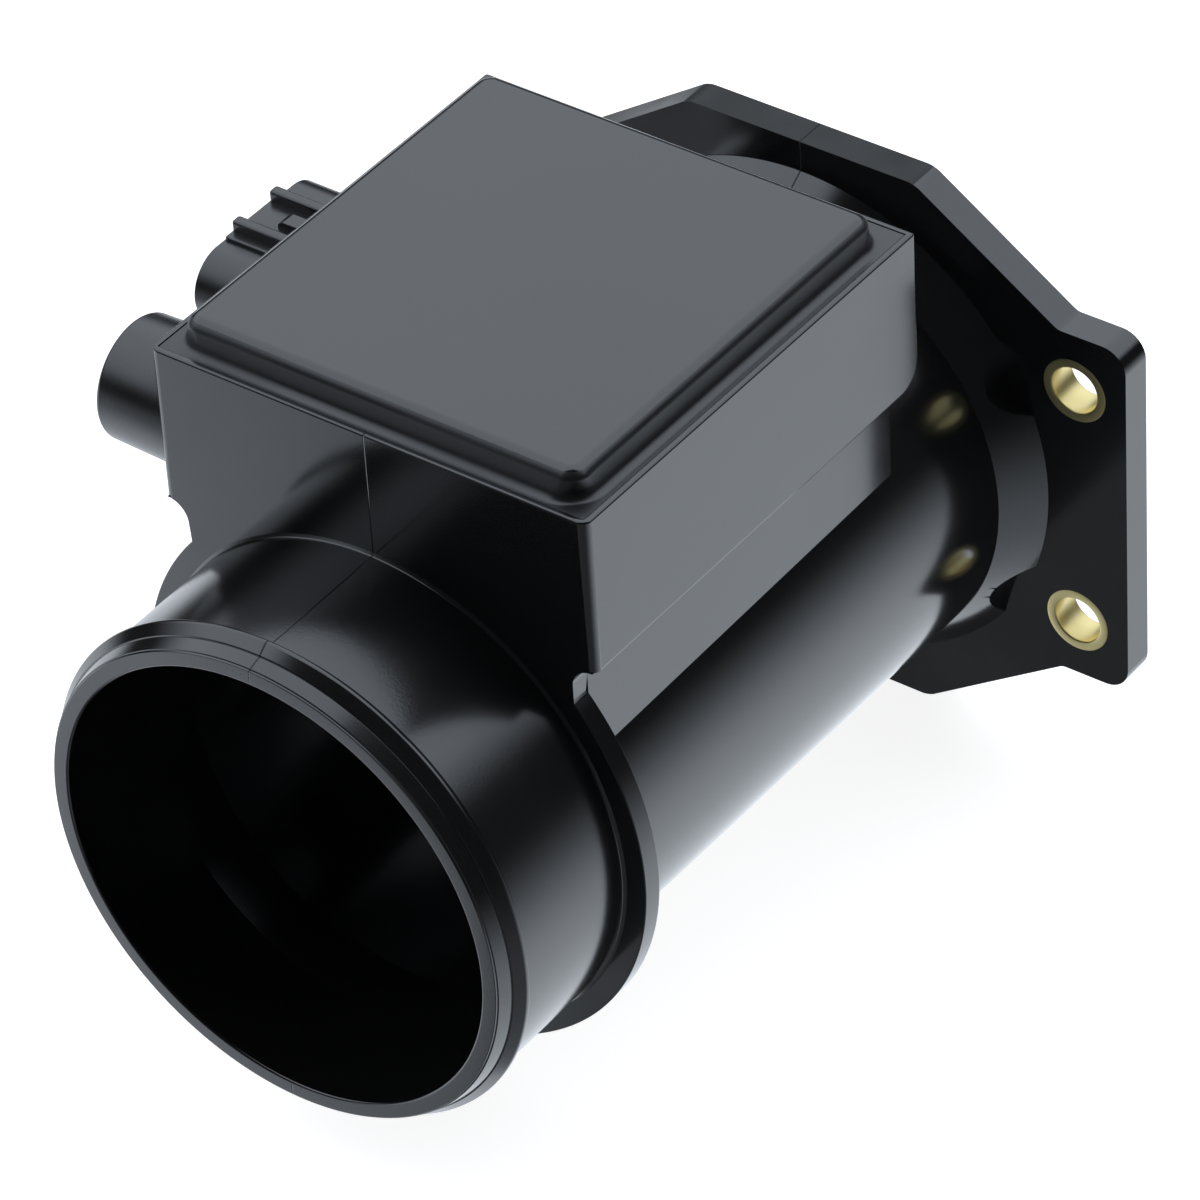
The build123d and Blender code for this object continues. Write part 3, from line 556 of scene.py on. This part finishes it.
class AIRFLOW_OT_front_plate(bpy.types.Operator):
    """Front plate: the disc behind the spigot, notched up to the box's corners"""

    bl_idname = "airflow.front_plate"
    bl_label = "Front plate"

    def execute(self, context):
        s = context.scene.airflow_duct
        b = context.scene.airflow_box
        back = PLATE_Y + s.plate_thickness
        bm = bmesh.new()
        ring = bmesh.ops.create_circle(bm, radius=s.plate, segments=s.steps)["verts"]
        bmesh.ops.create_circle(bm, radius=HIDDEN_RADIUS, segments=s.steps)
        side_z = math.sqrt(s.plate ** 2 - b.neck_half_width ** 2)
        gone = [v for v in ring if v.co.y > side_z - 0.05 * MM and abs(v.co.x) < s.plate]
        kept = [v for v in ring if v not in gone]
        bmesh.ops.delete(bm, geom=gone, context="VERTS")
        open_ends = sorted([v for v in kept if len(v.link_edges) == 1], key=lambda v: v.co.x)
        self.join_top(bm, open_ends, b.neck_half_width, side_z, b.bottom, b.neck_web)
        filled(bm, (0, 0, 1))
        bmesh.ops.transform(bm, matrix=stood_up(0, PLATE_Y, 0), verts=bm.verts[:])
        draw_out(bm, bm.faces[:], (0, back - PLATE_Y, 0))
        outward(bm)
        round_where(
            bm,
            lambda p: (near(p.y, PLATE_Y) or near(p.y, back))
            and math.hypot(p.x, p.z) > s.plate - 0.2 * MM and p.z < side_z + 0.3 * MM,
            0.4 * MM, 4,
        )
        housing_piece(bm, "front_plate")
        return {"FINISHED"}

    @staticmethod
    def join_top(bm, open_ends, keep_x, side_z, bottom, web):
        """Closes the disc's outline over the notches and under the box."""
        inner = []
        for side, end in ((-1, open_ends[0]), (1, open_ends[-1])):
            foot = bm.verts.new((side * keep_x, side_z, 0))
            bm.edges.new((end, foot))
            arc = bmesh.ops.create_circle(bm, radius=web, segments=48)["verts"]
            x, y = side * (keep_x + web), bottom - web
            bmesh.ops.translate(bm, vec=(x, y, 0), verts=arc)
            spare = [v for v in arc if (v.co.x - x) * side > 1e-6 or v.co.y < y - 1e-6]
            rest = [v for v in arc if v not in spare]
            bmesh.ops.delete(bm, geom=spare, context="VERTS")
            low = min(rest, key=lambda v: v.co.y)
            high = max(rest, key=lambda v: v.co.y)
            bm.edges.new((foot, low))
            inner.append(high)
        bm.edges.new(inner)


class AIRFLOW_OT_flange(bpy.types.Operator):
    """Four-eared flange and the hub with its bolt pockets"""

    bl_idname = "airflow.flange"
    bl_label = "Flange and hub"

    def execute(self, context):
        sizes = (context.scene.airflow_flange, context.scene.airflow_duct)
        self.plate(*sizes)
        self.hub(*sizes)
        return {"FINISHED"}

    @staticmethod
    def plate(f, d):
        front = FLANGE_BACK_Y - f.thickness
        quarter = [
            (FLAT_END_X, f.half_height, 4.0 * MM),
            (EAR_X, EAR_Z, 2.0 * MM),
            (f.half_width, EAR_Z, 4.0 * MM),
        ]
        right = quarter + [(x, -z, r) for x, z, r in reversed(quarter)]
        outline = right + [(-x, z, r) for x, z, r in reversed(right)]
        bm = bmesh.new()
        drawn_outline(bm, outline, lambda x, z: Vector((x, front, z)), 8)
        holes = [(0.0, 0.0, SCREEN_SEAT, d.steps)] + [(x, z, f.bushing, 64) for x, z in hole_places(f)]
        for x, z, radius, steps in holes:
            bmesh.ops.create_circle(bm, radius=radius, segments=steps, matrix=stood_up(x, front, z))
        filled(bm, (0, 1, 0))
        draw_out(bm, bm.faces[:], (0, f.thickness, 0))
        outward(bm)
        round_where(
            bm,
            lambda p: (near(p.y, front) or near(p.y, FLANGE_BACK_Y))
            and all(math.hypot(p.x - x, p.z - z) > r + 0.5 * MM for x, z, r, _ in holes),
            0.45 * MM, 4,
        )
        for face in bm.faces:
            place = face.calc_center_median()
            top = face.normal.z > 0.8 and place.z > EAR_Z - 0.5 * MM
            face.material_index = int(top and -EAR_X + 0.5 * MM < place.x < FLAT_END_X)
        housing_piece(bm, "flange", second="scuffed_edge")

    @staticmethod
    def hub(f, d):
        front = FLANGE_BACK_Y - f.thickness
        start = front - d.hub_length
        inside = 37.0 * MM  # in the tube's wall
        cone = [
            (inside, start),
            (d.tube_rear, start),
            (d.hub, front - 0.1 * MM),
            (d.hub, front + 0.5 * MM),
            (inside, front + 0.5 * MM),
        ]
        bm = turned_mesh(cone, d.steps)
        outward(bm)
        hub = linked_object(bm, "hub_blank")
        cutter_bm = bmesh.new()
        for x, z in hole_places(f):
            in_x, up_z = math.copysign(d.pocket_in, x), math.copysign(d.pocket_up, z)
            rod(cutter_bm, d.pocket, 24.0 * MM, 144, stood_up(x - in_x, front - 5.0 * MM, z + up_z))
        cutter = linked_object(cutter_bm, "hub_cutter")
        modify(hub, "BOOLEAN", object=cutter, operation="DIFFERENCE", solver="EXACT")
        modify(
            hub, "BEVEL", limit_method="ANGLE", angle_limit=math.radians(35), width=0.5 * MM, segments=3
        )
        done = bmesh.new()
        done.from_object(hub, bpy.context.evaluated_depsgraph_get())
        for spare in (hub, cutter):
            bpy.data.objects.remove(spare)
        housing_piece(done, "hub", crease=25.0)


class AIRFLOW_OT_box(bpy.types.Operator):
    """Circuit box with its lip, the neck under it and the webs beside the neck"""

    bl_idname = "airflow.box"
    bl_label = "Circuit box"

    def execute(self, context):
        self.box(context.scene.airflow_box)
        self.neck(context.scene.airflow_box, context.scene.airflow_duct)
        return {"FINISHED"}

    @staticmethod
    def box(b):
        rear = PLATE_Y + b.rear
        w = b.half_width
        side = [
            (PLATE_Y, b.bottom), (rear, b.bottom, b.heel), (rear, b.top), (PLATE_Y, b.top)
        ]
        bm = prism_mesh(side, lambda y, z: Vector((-w, y, z)), Vector((2 * w, 0, 0)), 12)
        uprights = [
            e for e in edges_where(bm, lambda p: near(abs(p.x), w) and near(p.y, PLATE_Y))
            if abs(e.verts[0].co.z - e.verts[1].co.z) > 5 * MM
        ]
        break_edges(bm, uprights, b.corner, 8, clamp=False)
        sides = [
            e for e in edges_where(bm, lambda p: near(abs(p.x), w) and p.y > PLATE_Y + b.corner - SLACK)
            if min(v.co.z for v in e.verts) < b.top - SLACK
        ]
        break_edges(bm, sides, b.edge, clamp=False)
        top = max(bm.faces, key=lambda f: f.calc_area() * near(f.calc_center_median().z, b.top))
        bmesh.ops.inset_region(bm, faces=[top], thickness=b.lip, use_even_offset=True)
        for x in (-w, w):
            for y in (PLATE_Y, rear):
                corner = [
                    v for v in top.verts
                    if max(abs(v.co.x - x), abs(v.co.y - y)) < b.lip + b.corner and near(v.co.z, b.top)
                ]
                inner_y = y + (b.lip if y == PLATE_Y else -b.lip)
                for v in corner:
                    v.co = (x - math.copysign(b.lip, x), inner_y, b.top)
        bmesh.ops.remove_doubles(bm, verts=bm.verts[:], dist=1e-6)
        top = max(bm.faces, key=lambda f: f.calc_area() * near(f.calc_center_median().z, b.top))
        draw_out(bm, [top], (0, 0, -LIP_DEPTH), keep=False)
        lip = [
            e for e in edges_where(bm, lambda p: near(p.z, b.top), 50.0)
            if any(min(v.co.z for v in f.verts) < b.top - 5 * MM for f in e.link_faces)
        ]
        break_edges(bm, lip, 0.35 * MM, 4, clamp=False)
        housing_piece(bm, "box")

    @staticmethod
    def neck(b, d):
        rear = PLATE_Y + b.rear - NECK_SETBACK
        start = PLATE_Y + d.plate_thickness
        w = b.neck_half_width
        low = math.sqrt(HIDDEN_RADIUS ** 2 - w ** 2)
        bm = bmesh.new()
        arc = bmesh.ops.create_circle(bm, radius=HIDDEN_RADIUS, segments=144)["verts"]
        spare = [v for v in arc if abs(v.co.x) > w or v.co.y < low]
        bmesh.ops.delete(bm, geom=spare, context="VERTS")
        ends = sorted([v for v in bm.verts if len(v.link_edges) == 1], key=lambda v: v.co.x)
        top = b.bottom + 0.6 * MM
        corners = [bm.verts.new((x, z, 0)) for x, z in ((-w, low), (-w, top), (w, top), (w, low))]
        chain = [ends[0], *corners, ends[-1]]
        for one, other in zip(chain, chain[1:]):
            bm.edges.new((one, other))
        bmesh.ops.transform(bm, matrix=stood_up(0, start, 0), verts=bm.verts[:])
        face = bmesh.ops.contextual_create(bm, geom=bm.edges[:])["faces"][0]
        draw_out(bm, [face], (0, rear - start, 0))
        outward(bm)
        round_where(bm, lambda p: near(p.y, rear) and near(abs(p.x), w), NECK_CORNER, 12)
        housing_piece(bm, "neck")
        r = b.neck_web
        for side, name in ((-1, "left"), (1, "right")):
            corners = [
                (side * (w - 0.6 * MM), b.bottom - r),
                (side * w, b.bottom - r),
                (side * w, b.bottom, r),
                (side * (w + r), b.bottom),
                (side * (w + r), b.bottom + 0.5 * MM),
                (side * (w - 0.6 * MM), b.bottom + 0.5 * MM),
            ]
            way = Vector((0, PLATE_Y + b.rear - b.heel - start, 0))
            web = prism_mesh(corners, lambda x, z: Vector((x, start, z)), way, 12)
            housing_piece(web, "web_" + name)


class AIRFLOW_OT_lid(bpy.types.Operator):
    """Lid: flat margin inside the lip and a raised panel with rounded edges"""

    bl_idname = "airflow.lid"
    bl_label = "Lid"

    def execute(self, context):
        b = context.scene.airflow_box
        low, high = LID_LOW, LID_HIGH
        margin_z = high.z - b.lid_rise
        bm = block_mesh(low, (high.x, high.y, margin_z))
        draft = b.lid_rise * math.tan(math.radians(LID_DRAFT))
        top = max(bm.faces, key=lambda f: f.calc_center_median().z)
        bmesh.ops.inset_region(bm, faces=[top], thickness=1.0 * MM, use_even_offset=True)
        crown = draw_out(bm, [top], (0, 0, b.lid_rise))
        half = b.half_width - b.lid_margin
        front, rear = PLATE_Y + b.lid_front, PLATE_Y + b.rear - b.lid_rear
        for ring, out in ((top.verts, draft), (crown, 0.0)):
            for v in ring:
                v.co.x = math.copysign(half + out, v.co.x)
                v.co.y = front - out if v.co.y < (front + rear) / 2 else rear + out
        bmesh.ops.delete(bm, geom=[top], context="FACES_ONLY")
        outward(bm)
        slopes = [
            e for e in bm.edges
            if min(v.co.z for v in e.verts) > margin_z - SLACK
            and abs(e.verts[0].co.z - e.verts[1].co.z) > 1 * MM
        ]
        break_edges(bm, slopes, LID_ROOT_CORNER, 12)
        shrink = LID_TOP_CORNER / LID_ROOT_CORNER
        for v in bm.verts:
            if near(v.co.z, high.z):
                for axis, low_end, high_end in ((0, -half, half), (1, front, rear)):
                    inner_low, inner_high = low_end + LID_ROOT_CORNER, high_end - LID_ROOT_CORNER
                    if v.co[axis] > inner_high - SLACK:
                        v.co[axis] = high_end - (high_end - v.co[axis]) * shrink
                    elif v.co[axis] < inner_low + SLACK:
                        v.co[axis] = low_end + (v.co[axis] - low_end) * shrink
        crest = b.lid_crest * math.tan(math.radians(45 - LID_DRAFT / 2))
        round_where(bm, lambda p: near(p.z, high.z), crest, 10)
        inset = 0.5 * MM
        round_where(
            bm,
            lambda p: near(p.z, margin_z) and abs(p.x) < high.x - inset
            and low.y + inset < p.y < high.y - inset,
            b.lid_foot, 8,
        )
        round_where(
            bm,
            lambda p: near(p.z, margin_z)
            and (near(abs(p.x), high.x) or near(p.y, low.y) or near(p.y, high.y)),
            0.12 * MM, 2, 50.0,
        )
        bm.normal_update()
        for face in bm.faces:
            low_face = face.calc_center_median().z < margin_z + 0.3 * MM
            face.material_index = int(low_face or face.normal.z < 0.8)
        into_piece(
            bm, "lid_moulded", "black_lid", ["lid"], "lid_plastic", crease=40.0, second="lid_rim"
        )
        return {"FINISHED"}


class AIRFLOW_OT_connector(bpy.types.Operator):
    """Oval plug socket with its keying pad, rails and catch"""

    bl_idname = "airflow.connector"
    bl_label = "Connector"

    def execute(self, context):
        c = context.scene.airflow_connector
        wall_x = -context.scene.airflow_box.half_width
        self.shroud(c, wall_x)
        pad_top = c.centre_z + c.height / 2 + 0.65 * MM
        front = SHROUD_MOUTH_X + 0.04 * MM
        y = c.centre_y
        # Each block: its middle along the bore, half width, foot above the socket's centre,
        # top and rounding.
        rail = (0.95 * MM, 5.0 * MM, pad_top + 1.75 * MM, 0.5 * MM)
        blocks = {
            "key_pad": (y, 7.0 * MM, 4.9 * MM, pad_top, 0.35 * MM),
            "rail_front": (y - RAIL_OFFSET, *rail),
            "rail_rear": (y + RAIL_OFFSET, *rail),
        }
        for name, (middle, half, foot, top, rounding) in blocks.items():
            low = (front, middle - half, c.centre_z + foot)
            bm = block_mesh(low, (wall_x + IN_WALL, middle + half, top))
            round_where(bm, lambda p: near(p.z, top) or near(p.x, front), rounding, 4)
            housing_piece(bm, name, "black_connector")
        self.catch(y, pad_top)
        return {"FINISHED"}

    @staticmethod
    def shroud(c, wall_x):
        bm = bmesh.new()
        r = c.height / 2
        half = c.width / 2
        corners = [(y, z, r * 0.999) for y, z in ((-half, -r), (half, -r), (half, r), (-half, r))]
        edges = drawn_outline(
            bm, corners, lambda y, z: Vector((SHROUD_MOUTH_X, c.centre_y + y, c.centre_z + z)), 24
        )
        face = bmesh.ops.contextual_create(bm, geom=edges)["faces"][0]
        draw_out(bm, [face], (wall_x + IN_WALL - SHROUD_MOUTH_X, 0, 0))
        outward(bm)
        bmesh.ops.inset_region(bm, faces=[face], thickness=c.wall, use_even_offset=True)
        draw_out(bm, [face], (SOCKET_DEPTH, 0, 0), keep=False)
        round_where(bm, lambda p: near(p.x, SHROUD_MOUTH_X), 0.35 * MM, angle=60.0)
        housing_piece(bm, "shroud", "black_connector")

    @staticmethod
    def catch(y, pad_top):
        x0 = SHROUD_MOUTH_X + 5.3 * MM
        corners = [
            (x0, pad_top - 0.6 * MM),
            (x0, pad_top + 0.65 * MM, 0.3 * MM),
            (x0 + 1.0 * MM, pad_top + 1.3 * MM, 0.4 * MM),
            (x0 + 4.5 * MM, pad_top + 1.3 * MM, 0.4 * MM),
            (x0 + 4.5 * MM, pad_top - 0.6 * MM),
        ]
        half = 1.3 * MM
        bm = prism_mesh(corners, lambda x, z: Vector((x, y - half, z)), Vector((0, 2 * half, 0)), 4)
        round_where(bm, lambda p: p.z > pad_top + 0.2 * MM, 0.3 * MM, angle=50.0)
        housing_piece(bm, "catch", "black_connector")


class AIRFLOW_OT_boss(bpy.types.Operator):
    """Round boss of the adjuster and its closing plug"""

    bl_idname = "airflow.boss"
    bl_label = "Adjuster boss"

    def execute(self, context):
        c = context.scene.airflow_connector
        wall = -context.scene.airflow_box.half_width
        end = wall - BOSS_LENGTH
        origin = (0, c.boss_y, c.boss_z)
        bore = PLUG_HIGH.z - c.boss_z
        shell = [
            (bore, end + BOSS_DEPTH),
            (bore, end, 0.3 * MM),
            (c.boss, end, 0.8 * MM),
            (c.boss + 0.35 * MM, wall),
            (c.boss + 0.35 * MM, wall + 0.6 * MM),
            (1.0 * MM, wall + 0.6 * MM),
            (1.0 * MM, end + BOSS_DEPTH),
        ]
        ways = (origin, (1, 0, 0), (0, 1, 0))
        housing_piece(turned_mesh(shell, 128, *ways), "boss", "black_connector")
        plug = [
            (0.0, PLUG_LOW.x),
            (bore - 0.8 * MM, PLUG_LOW.x, 0.2 * MM),
            (bore - 0.5 * MM, PLUG_LOW.x + 0.3 * MM, 0.1 * MM),
            (bore, PLUG_LOW.x + 0.3 * MM, 0.15 * MM),
            (bore, PLUG_HIGH.x),
            (0.0, PLUG_HIGH.x),
        ]
        bm = turned_mesh(plug, 96, *ways)
        into_piece(bm, "boss_plug_turned", "black_connector", ["boss_plug"], "plug_plastic")
        return {"FINISHED"}


class AIRFLOW_OT_bushings(bpy.types.Operator):
    """Brass bushings in the flange's ears"""

    bl_idname = "airflow.bushings"
    bl_label = "Bushings"

    def execute(self, context):
        f = context.scene.airflow_flange
        front = FLANGE_BACK_Y - f.thickness
        ring = [
            (f.bushing_hole, front, 0.25 * MM),
            (f.bushing, front, 0.1 * MM),
            (f.bushing, FLANGE_BACK_Y, 0.1 * MM),
            (f.bushing_hole, FLANGE_BACK_Y, 0.25 * MM),
        ]
        for x, z in hole_places(f):
            node = nearest_node("bushing_", Vector((x, FLANGE_BACK_Y, z)))
            bm = turned_mesh(ring, 96, (x, 0, z))
            into_piece(bm, node + "_turned", "bushing_metal", [node], "bushing_brass")
        return {"FINISHED"}


def nearest_node(prefix, point):
    """The CAD node with that prefix whose middle is nearest to a point."""
    def away(name):
        low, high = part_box(name)
        return ((low + high) / 2 - point).length
    return min((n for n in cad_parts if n.startswith(prefix)), key=away)


# ---- what shows through the bore ----
class AIRFLOW_OT_flow_screen(bpy.types.Operator):
    """Woven wire screen across the flange end of the bore"""

    bl_idname = "airflow.flow_screen"
    bl_label = "Flow screen"

    def execute(self, context):
        reach = SCREEN_HIGH.x - 0.4 * MM
        y = (SCREEN_LOW.y + SCREEN_HIGH.y) / 2
        pitch = 3.0 * MM
        wire = 0.17 * MM
        apart = wire * 0.9
        across = Matrix.Rotation(math.radians(90), 4, "Y")
        bm = bmesh.new()
        count = int(reach / pitch)
        for i in range(-count, count + 1):
            off = i * pitch
            half = math.sqrt(reach ** 2 - off ** 2)
            rod(bm, wire, 2 * half, 8, Matrix.Translation((0, y - apart, off)) @ across)
            rod(bm, wire, 2 * half, 8, Matrix.Translation((off, y + apart, 0)))
        into_piece(
            bm, "flow_screen_wires", "bright_steel", ["flow_screen"], "screen_steel", weigh=False
        )
        return {"FINISHED"}


class AIRFLOW_OT_inner_parts(bpy.types.Operator):
    """Finishes on the CAD nodes that stay: module, pins, board, terminals and rings"""

    bl_idname = "airflow.inner_parts"
    bl_label = "Inner parts"

    finishes = {
        "bushing_metal": ("terminal_",),
        "package_plastic": ("trimmer", "control_chip", "power_transistor"),
        "plate_metal": ("base_plate",),
        "white_ceramic": ("circuit_board", "capacitor_", "resistor_"),
        "carrier_plastic": ("sensor_module",),
        "bright_steel": ("hot_pin", "cold_pin", "screen_ring"),
        "wound_element": ("hot_element", "cold_element"),
        "grey_sealant": ("lid_seal",),
    }

    def execute(self, context):
        for node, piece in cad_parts.items():
            if piece.hide_render:
                continue
            for material, starts in self.finishes.items():
                if node.startswith(starts):
                    piece.data.materials.clear()
                    piece.data.materials.append(finish_named(material))
        return {"FINISHED"}


# ---- stage ----
# The studio as a part's gloss sees it: pale above and below, dark along the horizon and
# behind the camera. Angles are in degrees; turns are counted from the camera's side.
STUDIO_TINT = (0.88, 0.94, 1.0, 1.0)
STUDIO_ABOVE, STUDIO_BELOW, STUDIO_DIM = 1.2, 1.2, 0.03
ABOVE_FROM = (8.0, 30.0)
ABOVE_FROM_RIGHT = (18.0, 36.0)
BEHIND_TURN = (110.0, 145.0)
BELOW_FROM_LEFT = -14.0
BELOW_FROM_RIGHT = -40.0
BELOW_TO = -1.0
LEFT_TURN = (-82.0, -68.0)
LEFT_TURN_BELOW = (-83.0, -75.5)
RIGHT_TURN_ABOVE = (60.0, 82.0)
RIGHT_TURN_BELOW = (5.0, 90.0)
BELOW_SIDES = (-0.3, 0.5)
LEFT_BELOW_DIM = 0.1
FLOOR_COLOUR = (0.8, 0.8, 0.8, 1.0)
FLOOR_SHOWN = 0.88
FLOOR_REACH = 4.0
LAMP_AIM = Vector((0, -0.06, 0.04))
LAMP_FROM_AIM = Vector((-0.3, 0.35, 0.8))
LAMP_SIDE = 0.6
LAMP_RADIANCE = 0.5
LAMP_TINT = (0.93, 0.95, 1.0)
CAMERA_TARGET = Vector((3.697, -63.76, 3.428)) * MM


def floor_material():
    """Pale floor: white to the camera, with the part's shadow."""
    material = bpy.data.materials.new("stage_floor")
    material.use_nodes = True
    tree = material.node_tree
    tree.nodes.clear()
    matt = add_node(tree, "BsdfDiffuse", {"Color": FLOOR_COLOUR})
    seen = add_node(tree, "LightPath").outputs["Is Camera Ray"]
    strength = worked(tree, "MULTIPLY", seen, FLOOR_SHOWN)
    glow = add_node(tree, "Emission", {"Strength": strength})
    both = add_node(tree, "AddShader", {0: matt.outputs[0], 1: glow.outputs[0]})
    add_node(tree, "OutputMaterial", {"Surface": both.outputs[0]})
    return material


def studio_light(tree, camera_azimuth):
    """Strength of the studio's light by direction."""
    ray = add_node(tree, "TexCoord").outputs["Generated"]
    a = math.radians(camera_azimuth)
    ways = ((math.sin(a), -math.cos(a), 0.0), (math.cos(a), math.sin(a), 0.0), (0.0, 0.0, 1.0))
    along = [add_node(tree, "VectorMath", {0: ray, 1: way}, operation="DOT_PRODUCT") for way in ways]
    near_side, right_side, upward = [node.outputs["Value"] for node in along]
    degrees = 180.0 / math.pi
    rise = worked(tree, "MULTIPLY", worked(tree, "ARCSINE", upward), degrees)
    turn = worked(tree, "MULTIPLY", worked(tree, "ARCTAN2", right_side, near_side), degrees)
    left = eased(tree, rise, *ABOVE_FROM, 0.0, STUDIO_ABOVE)
    left = worked(tree, "MULTIPLY", left, eased(tree, turn, *LEFT_TURN, 1.0, 0.0))
    high_from = [
        eased(tree, turn, *BEHIND_TURN, beside, behind)
        for beside, behind in zip(ABOVE_FROM_RIGHT, ABOVE_FROM)
    ]
    right = eased(tree, rise, *high_from, 0.0, STUDIO_ABOVE)
    right = worked(tree, "MULTIPLY", right, eased(tree, turn, *RIGHT_TURN_ABOVE, 0.0, 1.0))
    below_from = eased(tree, right_side, *BELOW_SIDES, BELOW_FROM_LEFT, BELOW_FROM_RIGHT)
    below = eased(tree, rise, below_from, BELOW_TO, STUDIO_BELOW, 0.0)
    left_below = eased(tree, turn, *LEFT_TURN_BELOW, 1.0, LEFT_BELOW_DIM)
    right_below = eased(tree, turn, *RIGHT_TURN_BELOW, 0.0, 1.0)
    below = worked(tree, "MULTIPLY", below, worked(tree, "ADD", left_below, right_below))
    above = worked(tree, "ADD", left, right)
    return worked(tree, "ADD", worked(tree, "ADD", above, below), STUDIO_DIM)


def backdrop_world(camera_azimuth):
    """World: white to the camera; for the rest the studio's light by direction."""
    world = bpy.data.worlds.new("studio")
    world.use_nodes = True
    tree = world.node_tree
    tree.nodes.clear()
    seen = add_node(tree, "Background")
    strength = studio_light(tree, camera_azimuth)
    light = add_node(tree, "Background", {"Color": STUDIO_TINT, "Strength": strength})
    ray = add_node(tree, "LightPath").outputs["Is Camera Ray"]
    both = add_node(tree, "MixShader", {0: ray, 1: light.outputs[0], 2: seen.outputs[0]})
    add_node(tree, "OutputWorld", {"Surface": both.outputs[0]})
    bpy.context.scene.world = world


def softbox():
    """A square lamp of even radiance over the back, not seen in the gloss."""
    lamp = bpy.data.lights.new("light_over_back", "AREA")
    lamp.size = LAMP_SIDE
    lamp.energy = LAMP_RADIANCE * math.pi * LAMP_SIDE ** 2
    lamp.color = LAMP_TINT
    light = bpy.data.objects.new("light_over_back", lamp)
    light.location = LAMP_AIM + LAMP_FROM_AIM
    light.rotation_mode = "QUATERNION"
    light.rotation_quaternion = (-LAMP_FROM_AIM).to_track_quat("-Z", "Y")
    light.visible_glossy = False
    bpy.context.scene.collection.objects.link(light)


class StageSizes(bpy.types.PropertyGroup):
    """Camera and floor."""

    camera_azimuth: number("Azimuth", "Camera azimuth in degrees", 38.3284)
    camera_elevation: number("Elevation", "Camera elevation in degrees", 38.5785)
    camera_roll: number("Roll", "Camera roll in degrees", -3.7464)
    camera_distance: length("Distance", "Camera to the point that it looks at", 1053.73)
    lens: number("Lens", "Focal length in millimetres", 219.53)
    floor: position("Floor", "Height of the floor", -47.7)


class AIRFLOW_OT_stage(bpy.types.Operator):
    """Floor, soft studio light and the camera"""

    bl_idname = "airflow.stage"
    bl_label = "Stage"

    def execute(self, context):
        s = context.scene.airflow_stage
        self.camera(context, s)
        bm = bmesh.new()
        bmesh.ops.create_grid(bm, x_segments=1, y_segments=1, size=FLOOR_REACH)
        bmesh.ops.translate(bm, vec=(0, 0, s.floor), verts=bm.verts[:])
        floor = linked_object(bm, "floor")
        floor.data.materials.append(floor_material())
        floor.visible_glossy = False
        backdrop_world(s.camera_azimuth)
        softbox()
        context.scene.view_settings.view_transform = "Standard"
        return {"FINISHED"}

    @staticmethod
    def camera(context, s):
        a = math.radians(s.camera_azimuth)
        e = math.radians(s.camera_elevation)
        back = Vector((math.sin(a) * math.cos(e), -math.cos(a) * math.cos(e), math.sin(e)))
        lens = bpy.data.cameras.new("camera")
        lens.lens = s.lens
        lens.sensor_width = 36.0
        lens.clip_start = 0.05
        lens.clip_end = 20.0
        camera = bpy.data.objects.new("camera", lens)
        camera.rotation_mode = "QUATERNION"
        camera.location = CAMERA_TARGET + back * s.camera_distance
        roll = Quaternion((0, 0, 1), math.radians(s.camera_roll))
        camera.rotation_quaternion = (-back).to_track_quat("-Z", "Y") @ roll
        context.scene.collection.objects.link(camera)
        context.scene.camera = camera


class AIRFLOW_PT_panel(bpy.types.Panel):
    """Lists the sensor's pieces"""

    bl_idname = "AIRFLOW_PT_panel"
    bl_label = "Airflow Sensor"
    bl_space_type = "VIEW_3D"
    bl_region_type = "UI"
    bl_category = "Airflow Sensor"

    def draw(self, context):
        column = self.layout.column()
        for operator in OPERATORS:
            column.operator(operator.bl_idname)
        for _, name in GROUPS:
            group = getattr(context.scene, name)
            box = self.layout.box()
            for key in group.bl_rna.properties.keys():
                if key not in ("rna_type", "name"):
                    box.prop(group, key)


OPERATORS = (
    AIRFLOW_OT_stage,
    AIRFLOW_OT_duct,
    AIRFLOW_OT_front_plate,
    AIRFLOW_OT_flange,
    AIRFLOW_OT_box,
    AIRFLOW_OT_lid,
    AIRFLOW_OT_connector,
    AIRFLOW_OT_boss,
    AIRFLOW_OT_bushings,
    AIRFLOW_OT_flow_screen,
    AIRFLOW_OT_inner_parts,
)
GROUPS = (
    (DuctSizes, "airflow_duct"),
    (FlangeSizes, "airflow_flange"),
    (BoxSizes, "airflow_box"),
    (ConnectorSizes, "airflow_connector"),
    (Finishes, "airflow_finishes"),
    (StageSizes, "airflow_stage"),
)


def register():
    for group, name in GROUPS:
        bpy.utils.register_class(group)
        setattr(bpy.types.Scene, name, PointerProperty(type=group))
    for operator in OPERATORS:
        operator.bl_options = {"REGISTER", "UNDO"}
        bpy.utils.register_class(operator)
    bpy.utils.register_class(AIRFLOW_PT_panel)


def unregister():
    bpy.utils.unregister_class(AIRFLOW_PT_panel)
    for operator in reversed(OPERATORS):
        bpy.utils.unregister_class(operator)
    for group, name in reversed(GROUPS):
        delattr(bpy.types.Scene, name)
        bpy.utils.unregister_class(group)


def main():
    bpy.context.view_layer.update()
    register()
    bpy.ops.airflow.stage()
    bpy.ops.airflow.duct()
    bpy.ops.airflow.front_plate()
    bpy.ops.airflow.flange()
    bpy.ops.airflow.box()
    bpy.ops.airflow.lid()
    bpy.ops.airflow.connector()
    bpy.ops.airflow.boss()
    bpy.ops.airflow.bushings()
    bpy.ops.airflow.flow_screen()
    bpy.ops.airflow.inner_parts()


if __name__ == "__main__":
    main()
